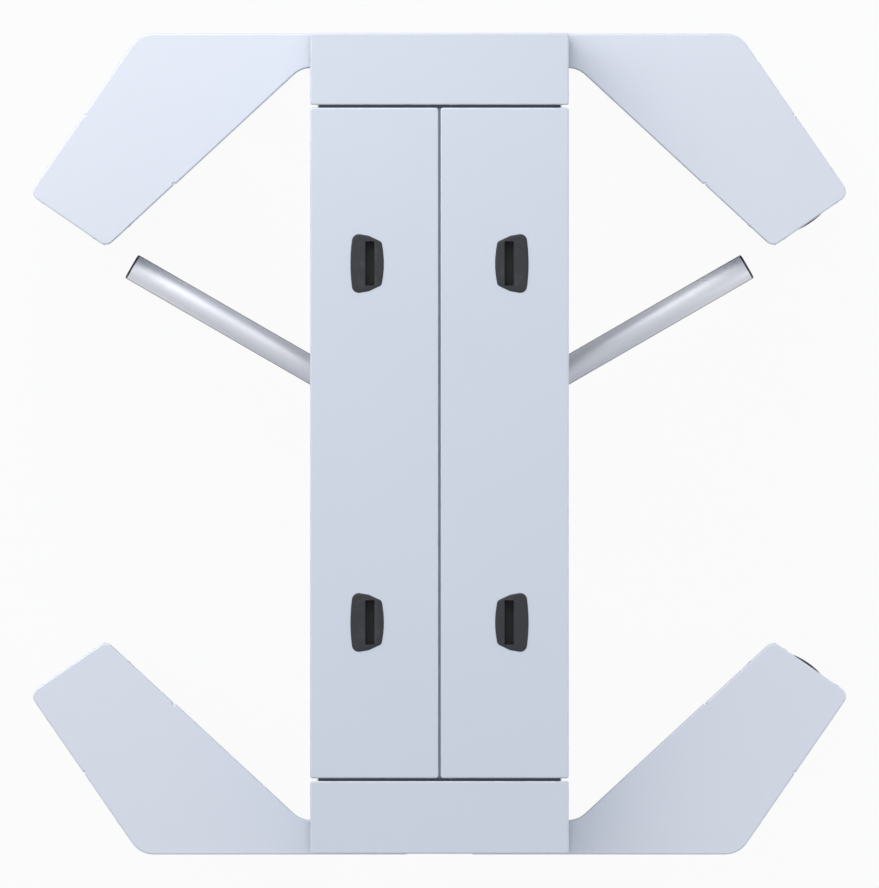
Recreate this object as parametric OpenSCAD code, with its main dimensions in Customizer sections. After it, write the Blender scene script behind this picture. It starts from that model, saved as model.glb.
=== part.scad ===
// Full height turnstile: one lane, a three-wing rotor under a roof beam, four guide walls.
// The origin is on the floor at the rotor's axis. The lane runs along X, people pass the axis
// on its -Y side (front), a fixed comb closes the +Y side (back), and +Z is up.

/* [Overall] */
// Height from the floor to the top of the lids
total_h = 2320; // [2100:5:2500]
// Height of the beam above the wall covers
beam_h = 210; // [200:5:300]
// Half length across the lane, from the axis to the outer face of the straight walls
half_l = 780; // [765:1:900]

/* [Wall plan] */
// Thickness of the straight part of a wall
wall_t = 64; // [62:1:80]
// Gap between the left and the right wall covers, where a centre post stands
centre_gap = 124; // [122:1:150]
// Distance along the lane from the axis to the outer corner of a wall's end
tip_x = 779.5; // [770:0.5:860]
// Distance across the lane from the outer face of the straight walls to the outer corner of a wall's end
wall_rise = 305; // [290:1:320]
// Width of a wall's end face
end_w = 178; // [165:1:200]
// Angle between the outer slanted face and the lane
outer_ang = 55.4; // [52:0.1:58]
// Angle between the inner slanted face and the lane
inner_ang = 42.8; // [41:0.1:44]
// Radius of the inner bend
knee_r = 50; // [10:1:80]
// Radius of the outer corner
corner_r = 50; // [10:1:80]
// Radius of the two corners at a wall's end
tip_r = 18; // [6:1:24]
// Sheet thickness of a wall cover
cover_t = 2; // [1.5:0.1:2.4]
// Depth of a wall cover's edge
cover_skirt = 60; // [40:1:90]
// How far the inner fascia stands proud between the seam and the beam
proud = 1.2; // [0.5:0.1:3]
// Distance of the seam from the end face, along the inner edge
seam_in = 176; // [150:1:195]
// Distance of the seam from the end face, along the outer edge
seam_out = 183; // [155:1:200]
// Width of the seam's notch
seam_w = 3; // [1:0.1:5]
// Depth of the seam's notch
seam_depth = 2.6; // [2.5:0.1:4]

/* [Wall structure] */
// Diameter of a guide bar
bar_d = 33.7; // [30:0.1:35]
// Wall thickness of a guide bar
bar_wall = 2.6; // [1.5:0.1:4]
// Guide bars in each wall
bar_count = 5; // [4:1:6]
// Distance of the bars' line behind the inner edge of the cover
bar_inset = 42; // [40:1:44]
// Width of the sill that the bars stand on
sill_w = 36; // [35:1:40]
// Height of the sill
sill_h = 20; // [12:1:60]
// Sheet thickness of an end pillar
pillar_t = 2; // [1.5:0.1:4]
// Radius of an end pillar's two corners next to the bars
pillar_r = 5; // [3:0.5:12]
// Distance between the two anchor holes in an end pillar's base
pillar_pitch = 90; // [70:1:100]
// Width of a corner post
corner_post_w = 60; // [50:1:60]
// Wall thickness of a corner post
corner_post_wall = 4; // [2:0.5:6]
// Distance of a corner post's middle from the outer corner, along the lane
corner_post_in = 66; // [64:1:80]
// Distance of a corner post's middle from the outer face, across the lane
corner_post_back = 59; // [58:1:64]
// Width of a corner post's foot plate
foot_w = 110; // [106:1:112]
// Thickness of every foot plate
plate_t = 10; // [6:1:15]
// Distance between the holes in a corner post's foot plate
foot_pitch = 84; // [82:1:88]
// Width of a centre post along the lane
centre_post_w = 120; // [110:1:120]
// Depth of a centre post across the lane
centre_post_d = 60; // [58:1:60]
// Wall thickness of a centre post
centre_post_wall = 4; // [2:0.5:6]
// Outer corner radius of the square and rectangular tubes
tube_r = 8; // [6.5:0.5:10]
// Length of a centre post's foot plate
foot_l = 220; // [200:1:230]
// Distance between the two holes in a centre post's foot plate
foot_l_pitch = 170; // [164:1:176]
// Thickness of a centre post's head plate
head_t = 8; // [6:1:12]
// Diameter of the cable way through the centre posts and the beam
cable_d = 36; // [20:1:40]

/* [Rotor] */
// Space between the arms' sweep and the inner slanted faces
wall_clear = 29.4; // [25:0.1:60]
// Space between the arms' sweep and the comb's strip
strip_clear = 35; // [25:1:60]
// Diameter of an arm and of a comb tube
arm_d = 48.3; // [38:0.1:55]
// Wall thickness of an arm and of a comb tube
arm_wall = 2.6; // [1.5:0.1:4]
// Arms in each wing
arm_count = 12; // [10:1:13]
// Height of the lowest arm's axis
arm_first = 170; // [150:1:220]
// Distance of the highest arm's axis below the top hub
arm_last_drop = 102; // [60:1:150]
// Angle of the first wing from +X
wing_ang = 30; // [30:60:330]
// Thickness of a tube plug's flange
plug_t = 3; // [2:0.5:5]
// Diameter of the rotor's column
column_d = 76.1; // [60:0.1:88]
// Wall thickness of the column
column_wall = 3.6; // [2:0.1:6]
// Width of a wing post
wing_post_w = 50; // [49:1:56]
// Depth of a wing post along its wing
wing_post_d = 30; // [25:1:34]
// Wall thickness of a wing post
wing_post_wall = 3; // [2:0.5:4]
// Corner radius of a wing post
wing_post_r = 4; // [3.5:0.5:6]
// Distance from the axis to the inner face of a wing post
wing_post_at = 50; // [46:1:54]
// Diameter of the hubs
hub_d = 190; // [186:1:200]
// Thickness of the hubs
hub_t = 12; // [8:1:15]
// Space between the rotor and the underside of the beam
rotor_clear = 12; // [8:1:16]

/* [Comb] */
// Distance of the comb tubes' tips from the axis
comb_tip = 118; // [112:1:160]
// Width of the comb's strip
comb_strip_w = 80; // [60:1:100]
// Thickness of the comb's strip
comb_strip_t = 8; // [5:1:12]
// Length of the strip beyond the outermost comb tubes
comb_strip_end = 60; // [40:1:80]

/* [Floor bearing] */
// Diameter of the floor bearing's plate
floor_plate_d = 240; // [230:1:260]
// Thickness of the floor bearing's plate
floor_plate_t = 12; // [8:1:16]
// Diameter of the circle of anchor holes in it
floor_pcd = 190; // [180:1:196]
// Outer diameter of the bearing's housing
housing_d = 110; // [100:1:120]
// Height of the housing above the plate
housing_h = 40; // [38:1:44]
// Outer diameter of the bearing
bearing_d = 72; // [66:1:80]
// Height of the bearing
bearing_h = 20; // [16:1:24]
// Depth of the bearing below the housing's rim
bearing_sunk = 4; // [2:1:6]
// Diameter of the stub shaft
stub_d = 40; // [30:1:45]
// Diameter of the stub shaft's shoulder
shoulder_d = 54; // [50:1:58]
// Space between the housing and the bottom hub
hub_gap = 8; // [5:1:12]

/* [Beam] */
// Width of the beam over its covers
beam_w = 490; // [484:1:500]
// Distance of the tray's side faces behind the beam's side faces
tray_in = 13; // [11:1:15]
// Thickness of the tray's side walls
tray_wall = 3; // [2:0.5:4]
// Thickness of the tray's floor
tray_floor = 4; // [3:0.5:6]
// Sheet thickness of the lids and end caps
lid_t = 2; // [1.5:0.1:2.5]
// How far the wall covers reach beyond the end caps
beam_setback = 1; // [0.5:0.5:3]
// Length of the back end cap
cap_l = 136.5; // [120:0.5:160]
// Length of the front end cap
front_cap_l = 140.5; // [120:0.5:160]
// Gap between the two lids
lid_gap = 4; // [3:0.5:8]
// Gap between a lid and an end cap
cap_gap = 5; // [3:0.5:8]
// Corner radius of the lids and end caps in plan
lid_r = 5; // [3:0.5:8]
// Space between the lower edge of the lids and the wall covers
skirt_clear = 12; // [10:1:60]
// Depth of a lid's short flanges
lid_flange = 12; // [8:1:14]
// Width of the rain gutter under the gap between the lids
gutter_w = 44; // [30:1:60]
// Depth of the gutter
gutter_h = 18; // [16:1:22]
// Sheet thickness of the gutter
gutter_t = 2; // [1:0.1:2.5]

/* [Lid grips] */
// Distance of a grip's middle from the beam's centreline
grip_x = 137; // [120:1:160]
// Distance of a grip's middle from the lid's end
grip_back = 295.5; // [200:0.5:380]
// Width of a grip's bezel
grip_w = 64; // [60:1:72]
// Length of a grip's bezel
grip_l = 110; // [106:1:120]
// Thickness of the bezel
grip_t = 2; // [1.5:0.1:4]
// Width of the finger slot
slot_w = 17.5; // [15:0.5:22]
// Length of the finger slot
slot_l = 84; // [70:1:85]
// Distance of the slot's middle from the grip's middle, towards the centreline
slot_in = 5; // [0:0.5:8]
// Width of the finger pocket below the bezel
pocket_w = 44; // [40:1:46]
// Length of the finger pocket
pocket_l = 89; // [88:1:91]
// Depth of the finger pocket
pocket_h = 27; // [20:1:40]
// Wall thickness of the pocket
pocket_t = 2; // [1.5:0.1:2.4]

/* [Drive] */
// Diameter of the drive shaft
shaft_d = 50; // [40:1:55]
// Diameter of the drive shaft's flange
flange_d = 132; // [126:1:150]
// Thickness of the drive shaft's flange
flange_t = 10; // [8:1:12]
// Radius of the circle of bolts that join the flange to the top hub
hub_bolt_r = 50; // [46:1:52]
// Width of the top bearing's square flange
top_flange_w = 140; // [138:1:144]
// Thickness of the top bearing's flange
top_flange_t = 12; // [8:1:14]
// Diameter of the top bearing's boss
top_boss_d = 100; // [90:1:104]
// Height of the top bearing
top_bearing_h = 34; // [28:1:40]
// Distance between the bolts of the top bearing
top_bolt_pitch = 116; // [114:1:118]
// Space between the driven pulley's rims and the lock brackets
pulley_gap = 10; // [8:1:30]
// Radius of the motor pulley where the belt runs
motor_r = 40; // [30:1:50]
// Height of the pulleys' rims
rim_h = 4; // [3:0.5:5]
// Thickness of the pulleys' rims
rim_t = 2; // [1:0.5:3]
// Width of the belt
belt_w = 20; // [16:1:24]
// Thickness of the belt
belt_t = 4; // [3:0.5:5]
// Distance of the motor's axis from the rotor's axis
motor_y = 300; // [270:1:380]
// Diameter of the motor
motor_d = 110; // [90:1:120]
// Height of the motor's body
motor_h = 84; // [60:1:86]
// Width of the motor's flange
motor_flange_w = 124; // [122:1:132]
// Thickness of the motor's flange
motor_flange_t = 10; // [6:1:12]
// Diameter of the motor's shaft
motor_shaft_d = 18; // [14:1:24]
// Width of the motor's bracket
bracket_w = 150; // [140:1:170]
// Thickness of the motor bracket's plate
bracket_t = 6; // [4:1:8]
// Thickness of the brackets' side walls
bracket_wall = 3; // [2:0.5:5]

/* [Lock] */
// Space between a resting pawl and its solenoid
lock_gap = 21; // [19:1:24]
// Thickness of the locking disc and of the pawls
disc_t = 8; // [6:1:10]
// Notches in the locking disc
notch_count = 12; // [12:12:24]
// Width of a notch
notch_w = 16; // [15:1:18]
// Depth of a notch
notch_h = 16; // [15:1:18]
// Distance of a pawl's pivot in front of the locking position
pivot_y = 85; // [84:0.5:86]
// Diameter of a pawl's pivot pin
pivot_d = 12; // [10:0.5:12.5]
// Distance from the tip of a resting pawl to the disc
pawl_clear = 3; // [2.5:0.5:4]
// Radial length of a pawl's tooth
pawl_tooth = 25; // [24:0.5:27]
// Width of a pawl's tooth
pawl_tooth_w = 10; // [9:0.5:11]
// Width of a solenoid
solenoid_w = 36; // [30:1:40]
// Height of a solenoid
solenoid_h = 46; // [40:1:48]
// Length of a solenoid
solenoid_l = 46; // [40:1:48]
// Diameter of a solenoid's plunger
plunger_d = 10; // [8:0.5:10]
// Travel of the plunger
plunger_stroke = 10.5; // [10:0.1:10.5]

/* [Lid locks] */
// Diameter of a lid lock's barrel
lock_d = 19; // [15:0.5:22]
// Length of the lock's cam
cam_l = 36; // [32:1:44]
// Width of the lock's cam
cam_w = 14; // [10:1:16]
// Thickness of the lock's cam
cam_t = 3; // [2:0.5:4]
// Height of the lock's axis above the beam's underside
lock_up = 90; // [70:1:110]

/* [Controls] */
// Width of the card reader
reader_w = 68; // [60:1:72]
// Height of the card reader
reader_h = 112; // [90:1:140]
// How far the card reader's face stands out
reader_out = 5; // [4:0.5:8]
// Height of the card reader's middle
reader_z = 1100; // [900:10:1300]
// Width of the status indicator
lamp_w = 57; // [50:1:70]
// Height of the status indicator
lamp_h = 150; // [100:1:200]
// How far the status indicator stands out
lamp_out = 3; // [2.5:0.5:6]
// Distance of the status indicator's middle below the top of the walls
lamp_drop = 330; // [200:10:600]
// Width of the control board
board_w = 150; // [120:1:170]
// Length of the control board
board_l = 200; // [160:1:220]
// Thickness of the control board
board_t = 1.6; // [1:0.1:3]
// Width of the power supply
supply_w = 100; // [80:1:120]
// Length of the power supply
supply_l = 180; // [140:1:200]
// Height of the power supply
supply_h = 45; // [30:1:60]
// Width of one terminal
terminal_w = 12; // [8:0.5:14]
// Depth of one terminal
terminal_d = 46; // [40:1:50]
// Height of one terminal
terminal_h = 40; // [30:1:45]
// Distance of the terminal row from the tray's end
terminal_back = 217; // [150:1:240]
// Terminals in the row
terminal_count = 12; // [6:1:14]

/* [Fasteners] */
// Diameter of the floor anchors that the holes are made for
anchor_d = 12; // [10:1:12]
// Diameter of the bolts in the beam and rotor
bolt_d = 10; // [8:1:12]

/* [Hidden] */
// Overrun of every cut
over = 1;
// Clearance round bolts and between pieces that stay apart
fit = 0.3;
// Radial clearance of a fit that turns or slides
run_fit = 0.05;
// Clearance between the belt and the pulleys
belt_fit = 0.5;
// Space beside moving and separate pieces
run_gap = 2;
// Sides of round bodies, of a long arc and of a short one
round_n = 48;
arc_n = 16;
small_n = 5;

// Wall plan, as seen from above, for the quadrant +X +Y
tip_y = half_l - wall_rise;
inner_y = half_l - wall_t;
gap_x = centre_gap / 2;
tip_out = [tip_x, tip_y];
tip_in = tip_out - end_w * [sin(outer_ang), cos(outer_ang)];
corner = [tip_x - (half_l - tip_y) / tan(outer_ang), half_l];
knee = [tip_in.x - (inner_y - tip_in.y) / tan(inner_ang), inner_y];
in_dir = [cos(inner_ang), -sin(inner_ang)];
in_out = [sin(inner_ang), cos(inner_ang)];
seam_a = tip_in - seam_in * in_dir;
seam_b = tip_out + seam_out * [-cos(outer_ang), sin(outer_ang)];
seam_dir = (seam_b - seam_a) / norm(seam_b - seam_a);
end_mid = (tip_in + tip_out) / 2;

// Levels of the walls
wall_h = total_h - beam_h;
cover_z = wall_h - cover_skirt;
cover_in_z = wall_h - cover_t;
post_y = half_l - wall_t / 2;
head_z = wall_h - head_t;
sill_in = bar_inset - sill_w / 2;
sill_out = bar_inset + sill_w / 2;
corner_post_at = [corner.x - corner_post_in, half_l - corner_post_back];
pillar_mid = (seam_a + tip_in + tip_out + seam_b) / 4 + in_out * sill_in / 2;

// Guide bars are spaced evenly along a line behind the inner edge
bar_start = [foot_l / 2, inner_y + bar_inset];
bar_knee = knee_at(bar_inset);
bar_end = seam_at(bar_inset);
bar_run_a = bar_knee.x - bar_start.x;
bar_run = bar_run_a + norm(bar_end - bar_knee);
bar_pitch = bar_run / bar_count;

// Levels of the rotor
housing_top = floor_plate_t + housing_h;
bottom_hub_z = housing_top + hub_gap;
rotor_z = bottom_hub_z + hub_t;
flange_z = wall_h - rotor_clear - flange_t;
top_hub_z = flange_z - hub_t;
rotor_len = top_hub_z - rotor_z;
comb_face = post_y - centre_post_d / 2;
sweep_r = min(tip_in * in_out - wall_clear, comb_face - comb_strip_t - strip_clear);
arm_pitch = (top_hub_z - arm_last_drop - arm_first) / (arm_count - 1);
arm_in = wing_post_at + wing_post_d;
arm_len = sweep_r - plug_t - arm_in;
plug_in = 12;
wing_angles = [wing_ang, wing_ang + 120, wing_ang + 240];

// Comb between the arms, fixed to the back centre post
comb_first = arm_first + arm_pitch / 2;
comb_run = arm_pitch * (arm_count - 2);
comb_len = comb_face - comb_strip_t - comb_tip - plug_t;

// Floor bearing
bearing_top = housing_top - bearing_sunk;
bearing_z = bearing_top - bearing_h;
stub_end = bearing_z - 2 * run_gap;
relief_d = stub_d + 3 * run_gap;

// Plan and levels of the beam
tray_w = beam_w - 2 * tray_in;
lid_z = total_h - lid_t;
tray_top = wall_h + tray_floor;
beam_end = half_l - beam_setback;
tray_end = beam_end - lid_t;
skirt_z = wall_h + skirt_clear;
gutter_z = lid_z - gutter_h;
pocket_z = total_h - pocket_h;
shaft_hole_d = shaft_d + 5 * run_gap;
flange_x0 = gutter_w / 2 + run_gap;
flange_x1 = tray_w / 2 - tray_wall - run_gap;

// Across the tray, the solenoids stand beside its walls, the locking disc clears their pawls, and
// the driven pulley clears the lock brackets
platform_x1 = tray_w / 2 - tray_wall - run_gap;
solenoid_x = platform_x1 - solenoid_l - run_gap;
disc_r = solenoid_x - lock_gap - pawl_tooth - pawl_clear;
pivot_x = disc_r;
platform_x0 = pivot_x - pivot_d / 2 - 5 * run_gap;
driven_r = platform_x0 - pulley_gap - rim_h;

// Drive train above the tray's floor
pulley_z = tray_top + top_bearing_h + run_gap;
belt_gap = 2;
pulley_w = belt_w + 2 * belt_gap + 2 * rim_t;
belt_z = pulley_z + rim_t + belt_gap;
pulley_hub_d = 70;
disc_z = pulley_z + pulley_w + 6 * run_gap;
shaft_end = disc_z + disc_t + 5 * run_gap;
motor_plate_z = pulley_z + pulley_w + run_gap;
motor_flange_z = motor_plate_z + bracket_t;
motor_shaft_in = motor_flange_z + motor_flange_t;
belt_ang = asin((driven_r - motor_r) / motor_y);
window_share = 0.62;
window_width_share = 0.26;
window_count = 6;

// Lock: the pawls turn in the plane of the disc, the solenoids push them from outside
platform_t = 4;
pawl_boss_d = 2 * pivot_d;
platform_z = disc_z + disc_t / 2 - solenoid_h / 2 - platform_t;
platform_y0 = -pivot_y - pivot_d - 5 * run_gap;
platform_y1 = pawl_boss_d;
pawl_tip = disc_r + pawl_clear - pivot_x;
pawl_out = pawl_tip + pawl_tooth;
pawl_arm_w = 14;
plunger_y = -pawl_tooth_w;
plunger_gap = 0.5;
plunger_x = pivot_x + pawl_out + plunger_gap;
plunger_l = solenoid_x + solenoid_l / 2 - plunger_x;

// Lid locks
lock_z = wall_h + lock_up;
lock_face = beam_w / 2 + fit;
cam_x = beam_w / 2 - lid_t - 5 * run_gap / 2 + fit;
keeper_y = lock_d / 2 + run_gap;
keeper_l = cam_l - keeper_y;
keeper_t = 3;

// Control gear in the front half of the tray
terminal_y = terminal_back - tray_end;
gear_y = (terminal_y + platform_y0) / 2;
board_at = [-110, gear_y];
supply_at = [115, gear_y];
standoff_h = 10;
standoff_d = 8;
board_inset = 8;
rail_w = 35;
rail_h = 8;
relay_size = [30, 14, 20];
relay_count = 5;
capacitor_d = 16;
capacitor_h = 28;
header_size = [90, 10, 12];
vent_size = [60, 4];
vent_count = 6;

// Fastener sizes that follow the thread
anchor_hole_d = anchor_d + 2;
bolt_af = 1.6 * bolt_d;
bolt_head_h = 0.64 * bolt_d;
bolt_hole_d = bolt_d + 2 * fit;
post_bolt_share = 0.33;

// Point of the bend that lies a distance behind the inner edge
function knee_at(d) = knee + d * [tan(inner_ang / 2), 1];

// Point of the seam that lies a distance behind the inner edge
function seam_at(d) = seam_a + seam_dir * d / (seam_dir * in_out);

// Place of a guide bar, counted along the bars' line
function bar_at(s) = s < bar_run_a
    ? bar_start + [s, 0]
    : bar_knee + (s - bar_run_a) * (bar_end - bar_knee) / norm(bar_end - bar_knee);

// Points that round the corner b of the outline a, b, c
function fillet(a, b, c, r, n) =
    let (u = (a - b) / norm(a - b), v = (c - b) / norm(c - b), half = acos(u * v) / 2)
    let (mid = b + (u + v) / norm(u + v) * r / sin(half))
    let (p = b + u * r / tan(half) - mid, q = b + v * r / tan(half) - mid)
    let (start = atan2(p.y, p.x), turn = atan2(p.x * q.y - p.y * q.x, p * q))
    [for (i = [0:n]) mid + r * [cos(start + turn * i / n), sin(start + turn * i / n)]];

// Outline with every corner rounded by its own radius
function rounded(pts, radii, n) = let (m = len(pts)) [
    for (i = [0:m - 1])
        each radii[i] > 0
            ? fillet(pts[(i + m - 1) % m], pts[i], pts[(i + 1) % m], radii[i], n)
            : [pts[i]]
];

// Unit vector that points out of an outline's edge, for an outline that runs anticlockwise
function edge_out(p, q) = let (e = (q - p) / norm(q - p)) [e.y, -e.x];

// How far a corner moves when its two edges move in by d1 and d2
function corner_shift(n1, d1, n2, d2) =
    [d2 * n1.y - d1 * n2.y, d1 * n2.x - d2 * n1.x] / (n1.x * n2.y - n1.y * n2.x);

// Outline whose edges are moved in by their own distances
function inset(pts, ds) = let (m = len(pts)) [
    for (i = [0:m - 1])
        let (a = pts[(i + m - 1) % m], b = pts[i], c = pts[(i + 1) % m])
            b + corner_shift(edge_out(a, b), ds[(i + m - 1) % m], edge_out(b, c), ds[i])
];

// Length of an end cap, and how far from the middle the cap, the lids and their grips come at that end
function cap_length(back) = back ? cap_l : front_cap_l;
function cap_start(back) = beam_end - cap_length(back);
function lid_end(back) = cap_start(back) - cap_gap;
function grip_y(back) = lid_end(back) - grip_back;

function same(value, m) = [for (i = [1:m]) value];

function rect(w, d) = [[-w / 2, -d / 2], [w / 2, -d / 2], [w / 2, d / 2], [-w / 2, d / 2]];

function arc(mid, r, a0, a1, n) =
    [for (i = [0:n]) mid + r * [cos(a0 + (a1 - a0) * i / n), sin(a0 + (a1 - a0) * i / n)]];

// Outline of the belt at a distance from the pulleys
function belt_line(d) = concat(
    arc([0, motor_y], motor_r + d, belt_ang, 180 - belt_ang, arc_n),
    arc([0, 0], driven_r + d, 180 - belt_ang, 360 + belt_ang, 2 * arc_n)
);

cover_plan = [
    [gap_x, inner_y - proud], knee_at(-proud), seam_a - proud * in_out, seam_a,
    tip_in, tip_out, corner, [gap_x, half_l]
];
pillar_plan = inset([seam_a, tip_in, tip_out, seam_b], [sill_in, 0, 0, 0]);
pillar_radii = [pillar_r, tip_r, tip_r, pillar_r];
sill_plan = [
    [foot_l / 2, inner_y + sill_in], knee_at(sill_in), seam_at(sill_in),
    seam_at(sill_out), knee_at(sill_out), [foot_l / 2, inner_y + sill_out]
];
// Corners of a grip's bezel, as shares of its width and length, and their radii
grip_shares = [
    [0.5, 0], [0.425, 0.525], [-0.05, 0.478], [-0.425, 0.375],
    [-0.5, 0], [-0.425, -0.375], [-0.05, -0.478], [0.425, -0.525]
];
grip_plan = [for (p = grip_shares) [p.x * grip_w, p.y * grip_l]];
grip_radii_shares = [0.33, 0.12, 0.25, 0.07, 0.33, 0.07, 0.25, 0.12];
grip_radii = grip_l * grip_radii_shares;
// A pawl's outline from its pivot, with its tooth towards the disc
pawl_plan = [
    [-pawl_boss_d / 4, pawl_boss_d / 3], [pawl_boss_d / 3, -pawl_boss_d / 4],
    [pawl_out, pawl_boss_d / 2], [pawl_out, pivot_y + pawl_tooth_w / 2],
    [pawl_tip, pivot_y + pawl_tooth_w / 2], [pawl_tip, pivot_y - pawl_tooth_w / 2],
    [pawl_out - pawl_arm_w, pivot_y - pawl_tooth_w / 2], [pawl_out - pawl_arm_w, pawl_boss_d]
];

// The +X +Y quadrant's shape, carried over to the quadrant asked for
module quadrant(right, back) {
    mirror([right ? 0 : 1, 0, 0]) mirror([0, back ? 0 : 1, 0]) children();
}

module prism(pts, z, h) {
    translate([0, 0, z]) linear_extrude(h) polygon(pts);
}

module block(size, at) {
    translate(at) cube(size);
}

module rod(d, z, h) {
    translate([0, 0, z]) cylinder(d = d, h = h, $fn = round_n);
}

module tube(d, wall, z, h) {
    difference() {
        rod(d, z, h);
        rod(d - 2 * wall, z - over, h + 2 * over);
    }
}

module box_tube(w, d, wall, r, z, h) {
    difference() {
        prism(rounded(rect(w, d), same(r, 4), small_n), z, h);
        prism(rounded(rect(w - 2 * wall, d - 2 * wall), same(r - wall, 4), small_n), z - over, h + 2 * over);
    }
}

module hexagon(af, z, h) {
    translate([0, 0, z]) cylinder(d = af / cos(30), h = h, $fn = 6);
}

// Hexagon bolt whose head sits at a level and whose shank reaches down
module bolt(head_z, reach) {
    hexagon(bolt_af, head_z, bolt_head_h);
    rod(bolt_d, head_z - reach, reach + over);
}

module centre_post(back) {
    color("silver") mirror([0, back ? 0 : 1, 0]) translate([0, post_y, 0]) {
        difference() {
            prism(rect(foot_l, centre_post_d), 0, plate_t);
            rod(cable_d, -over, plate_t + 2 * over);
            for (side = [-1, 1])
                translate([side * foot_l_pitch / 2, 0, 0]) rod(anchor_hole_d, -over, plate_t + 2 * over);
        }
        box_tube(centre_post_w, centre_post_d, centre_post_wall, tube_r, plate_t, head_z - plate_t);
        difference() {
            prism(rect(centre_post_w, centre_post_d), head_z, head_t);
            rod(cable_d, head_z - over, head_t + 2 * over);
            for (side = [-1, 1])
                translate([side * post_bolt_share * centre_post_w, 0, 0])
                    rod(bolt_hole_d, head_z - over, head_t + 2 * over);
        }
    }
}

module corner_foot_holes() {
    for (x = [-1, 1], y = [-1, 1])
        translate([x * foot_pitch / 2, y * foot_pitch / 2, 0]) children();
}

module corner_posts() {
    color("silver")
        for (right = [false, true], back = [false, true])
            quadrant(right, back) translate([corner_post_at.x, corner_post_at.y, 0]) {
                difference() {
                    prism(rect(foot_w, foot_w), 0, plate_t);
                    corner_foot_holes() rod(anchor_hole_d, -over, plate_t + 2 * over);
                }
                box_tube(corner_post_w, corner_post_w, corner_post_wall, tube_r,
                    plate_t, cover_in_z - plate_t);
            }
}

// Notch across a cover's edge at the seam, drawn along +Y into the wall
module seam_notch(at, out) {
    translate([at.x, at.y, cover_z - over]) rotate([0, 0, atan2(out.y, out.x) - 90])
        block([seam_w, seam_depth + over, cover_skirt + 2 * over], [-seam_w / 2, -seam_depth, 0]);
}

module wall_cover(right, back) {
    m = len(cover_plan);
    color("lightsteelblue") quadrant(right, back) difference() {
        prism(rounded(cover_plan, [0, knee_r, 0, 0, tip_r, tip_r, corner_r, 0], arc_n), cover_z, cover_skirt);
        prism(
            rounded(inset(cover_plan, same(cover_t, m)), [0, knee_r + cover_t, 0, 0, tip_r - cover_t,
                tip_r - cover_t, corner_r - cover_t, 0], arc_n),
            cover_z - over, cover_skirt - cover_t + over);
        seam_notch(seam_a, -in_out);
        seam_notch(seam_b, [sin(outer_ang), cos(outer_ang)]);
    }
}

module pillar_holes() {
    for (side = [-1, 1])
        translate([pillar_mid.x + side * pillar_pitch / 2, pillar_mid.y, 0]) children();
}

module end_pillar(right, back) {
    color("lightsteelblue") quadrant(right, back) difference() {
        prism(rounded(pillar_plan, pillar_radii, small_n), 0, cover_z);
        prism(
            rounded(inset(pillar_plan, same(pillar_t, 4)), [for (r = pillar_radii) r - pillar_t], small_n),
            plate_t, cover_z - plate_t + over);
        pillar_holes() rod(anchor_hole_d, -over, plate_t + 2 * over);
    }
}

module guide_bars(back) {
    color("silver")
        for (right = [false, true], i = [0:bar_count - 1])
            let (at = bar_at((i + 0.5) * bar_pitch))
                quadrant(right, back) translate([at.x, at.y, 0])
                    tube(bar_d, bar_wall, sill_h, cover_in_z - sill_h);
}

module floor_sills() {
    color("gray")
        for (right = [false, true], back = [false, true])
            quadrant(right, back) prism(sill_plan, 0, sill_h);
}

module comb_strip() {
    color("silver")
        block([comb_strip_w, comb_strip_t, comb_run + 2 * comb_strip_end],
            [-comb_strip_w / 2, comb_face - comb_strip_t, comb_first - comb_strip_end]);
}

// Carries a shape that stands along +Z to each comb tube, its base at the strip
module each_comb() {
    for (i = [0:arm_count - 2])
        translate([0, comb_face - comb_strip_t, comb_first + i * arm_pitch]) rotate([90, 0, 0]) children();
}

module comb_tubes() {
    color("silver") each_comb() tube(arm_d, arm_wall, 0, comb_len);
}

// Plug in the end of an arm or a comb tube
module tube_plug(z) {
    rod(arm_d, z, plug_t);
    rod(arm_d - 2 * arm_wall - fit, z - plug_in, plug_in + over);
}

module comb_plugs() {
    color("dimgray") each_comb() tube_plug(comb_len);
}

module top_bearing_bolts() {
    for (x = [-1, 1], y = [-1, 1])
        translate([x * top_bolt_pitch / 2, y * top_bolt_pitch / 2, 0]) children();
}

module post_bolts() {
    for (x = [-1, 1], y = [-1, 1])
        translate([x * post_bolt_share * centre_post_w, y * post_y, 0]) children();
}

module beam_tray() {
    color("lightslategray") {
        difference() {
            block([tray_w, 2 * tray_end, lid_z - wall_h], [-tray_w / 2, -tray_end, wall_h]);
            block([tray_w - 2 * tray_wall, 2 * tray_end - 2 * tray_wall, lid_z - tray_top + over],
                [-tray_w / 2 + tray_wall, -tray_end + tray_wall, tray_top]);
            rod(shaft_hole_d, wall_h - over, tray_floor + 2 * over);
            for (side = [-1, 1])
                translate([0, side * post_y, 0]) rod(cable_d, wall_h - over, tray_floor + 2 * over);
            post_bolts() rod(bolt_hole_d, wall_h - over, tray_floor + 2 * over);
            top_bearing_bolts() rod(bolt_hole_d, wall_h - over, tray_floor + 2 * over);
        }
        for (side = [0, 1])
            mirror([side, 0, 0])
                block([cam_x + cam_t - tray_w / 2 + fit + over, keeper_l, keeper_t],
                    [tray_w / 2 - over, keeper_y, lock_z + cam_w / 2 + run_gap]);
    }
}

// Cover with a top plate, two side skirts and one end skirt, over one end of the beam
module end_cap(back) {
    depth = total_h - skirt_z;
    color("lightsteelblue") mirror([0, back ? 0 : 1, 0]) difference() {
        translate([0, cap_start(back) + cap_length(back) / 2, 0])
            prism(rounded(rect(beam_w, cap_length(back)), same(lid_r, 4), small_n), skirt_z, depth);
        block([beam_w - 2 * lid_t, cap_length(back) - lid_t + over, depth - lid_t + over],
            [-beam_w / 2 + lid_t, cap_start(back) - over, skirt_z - over]);
    }
}

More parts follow.
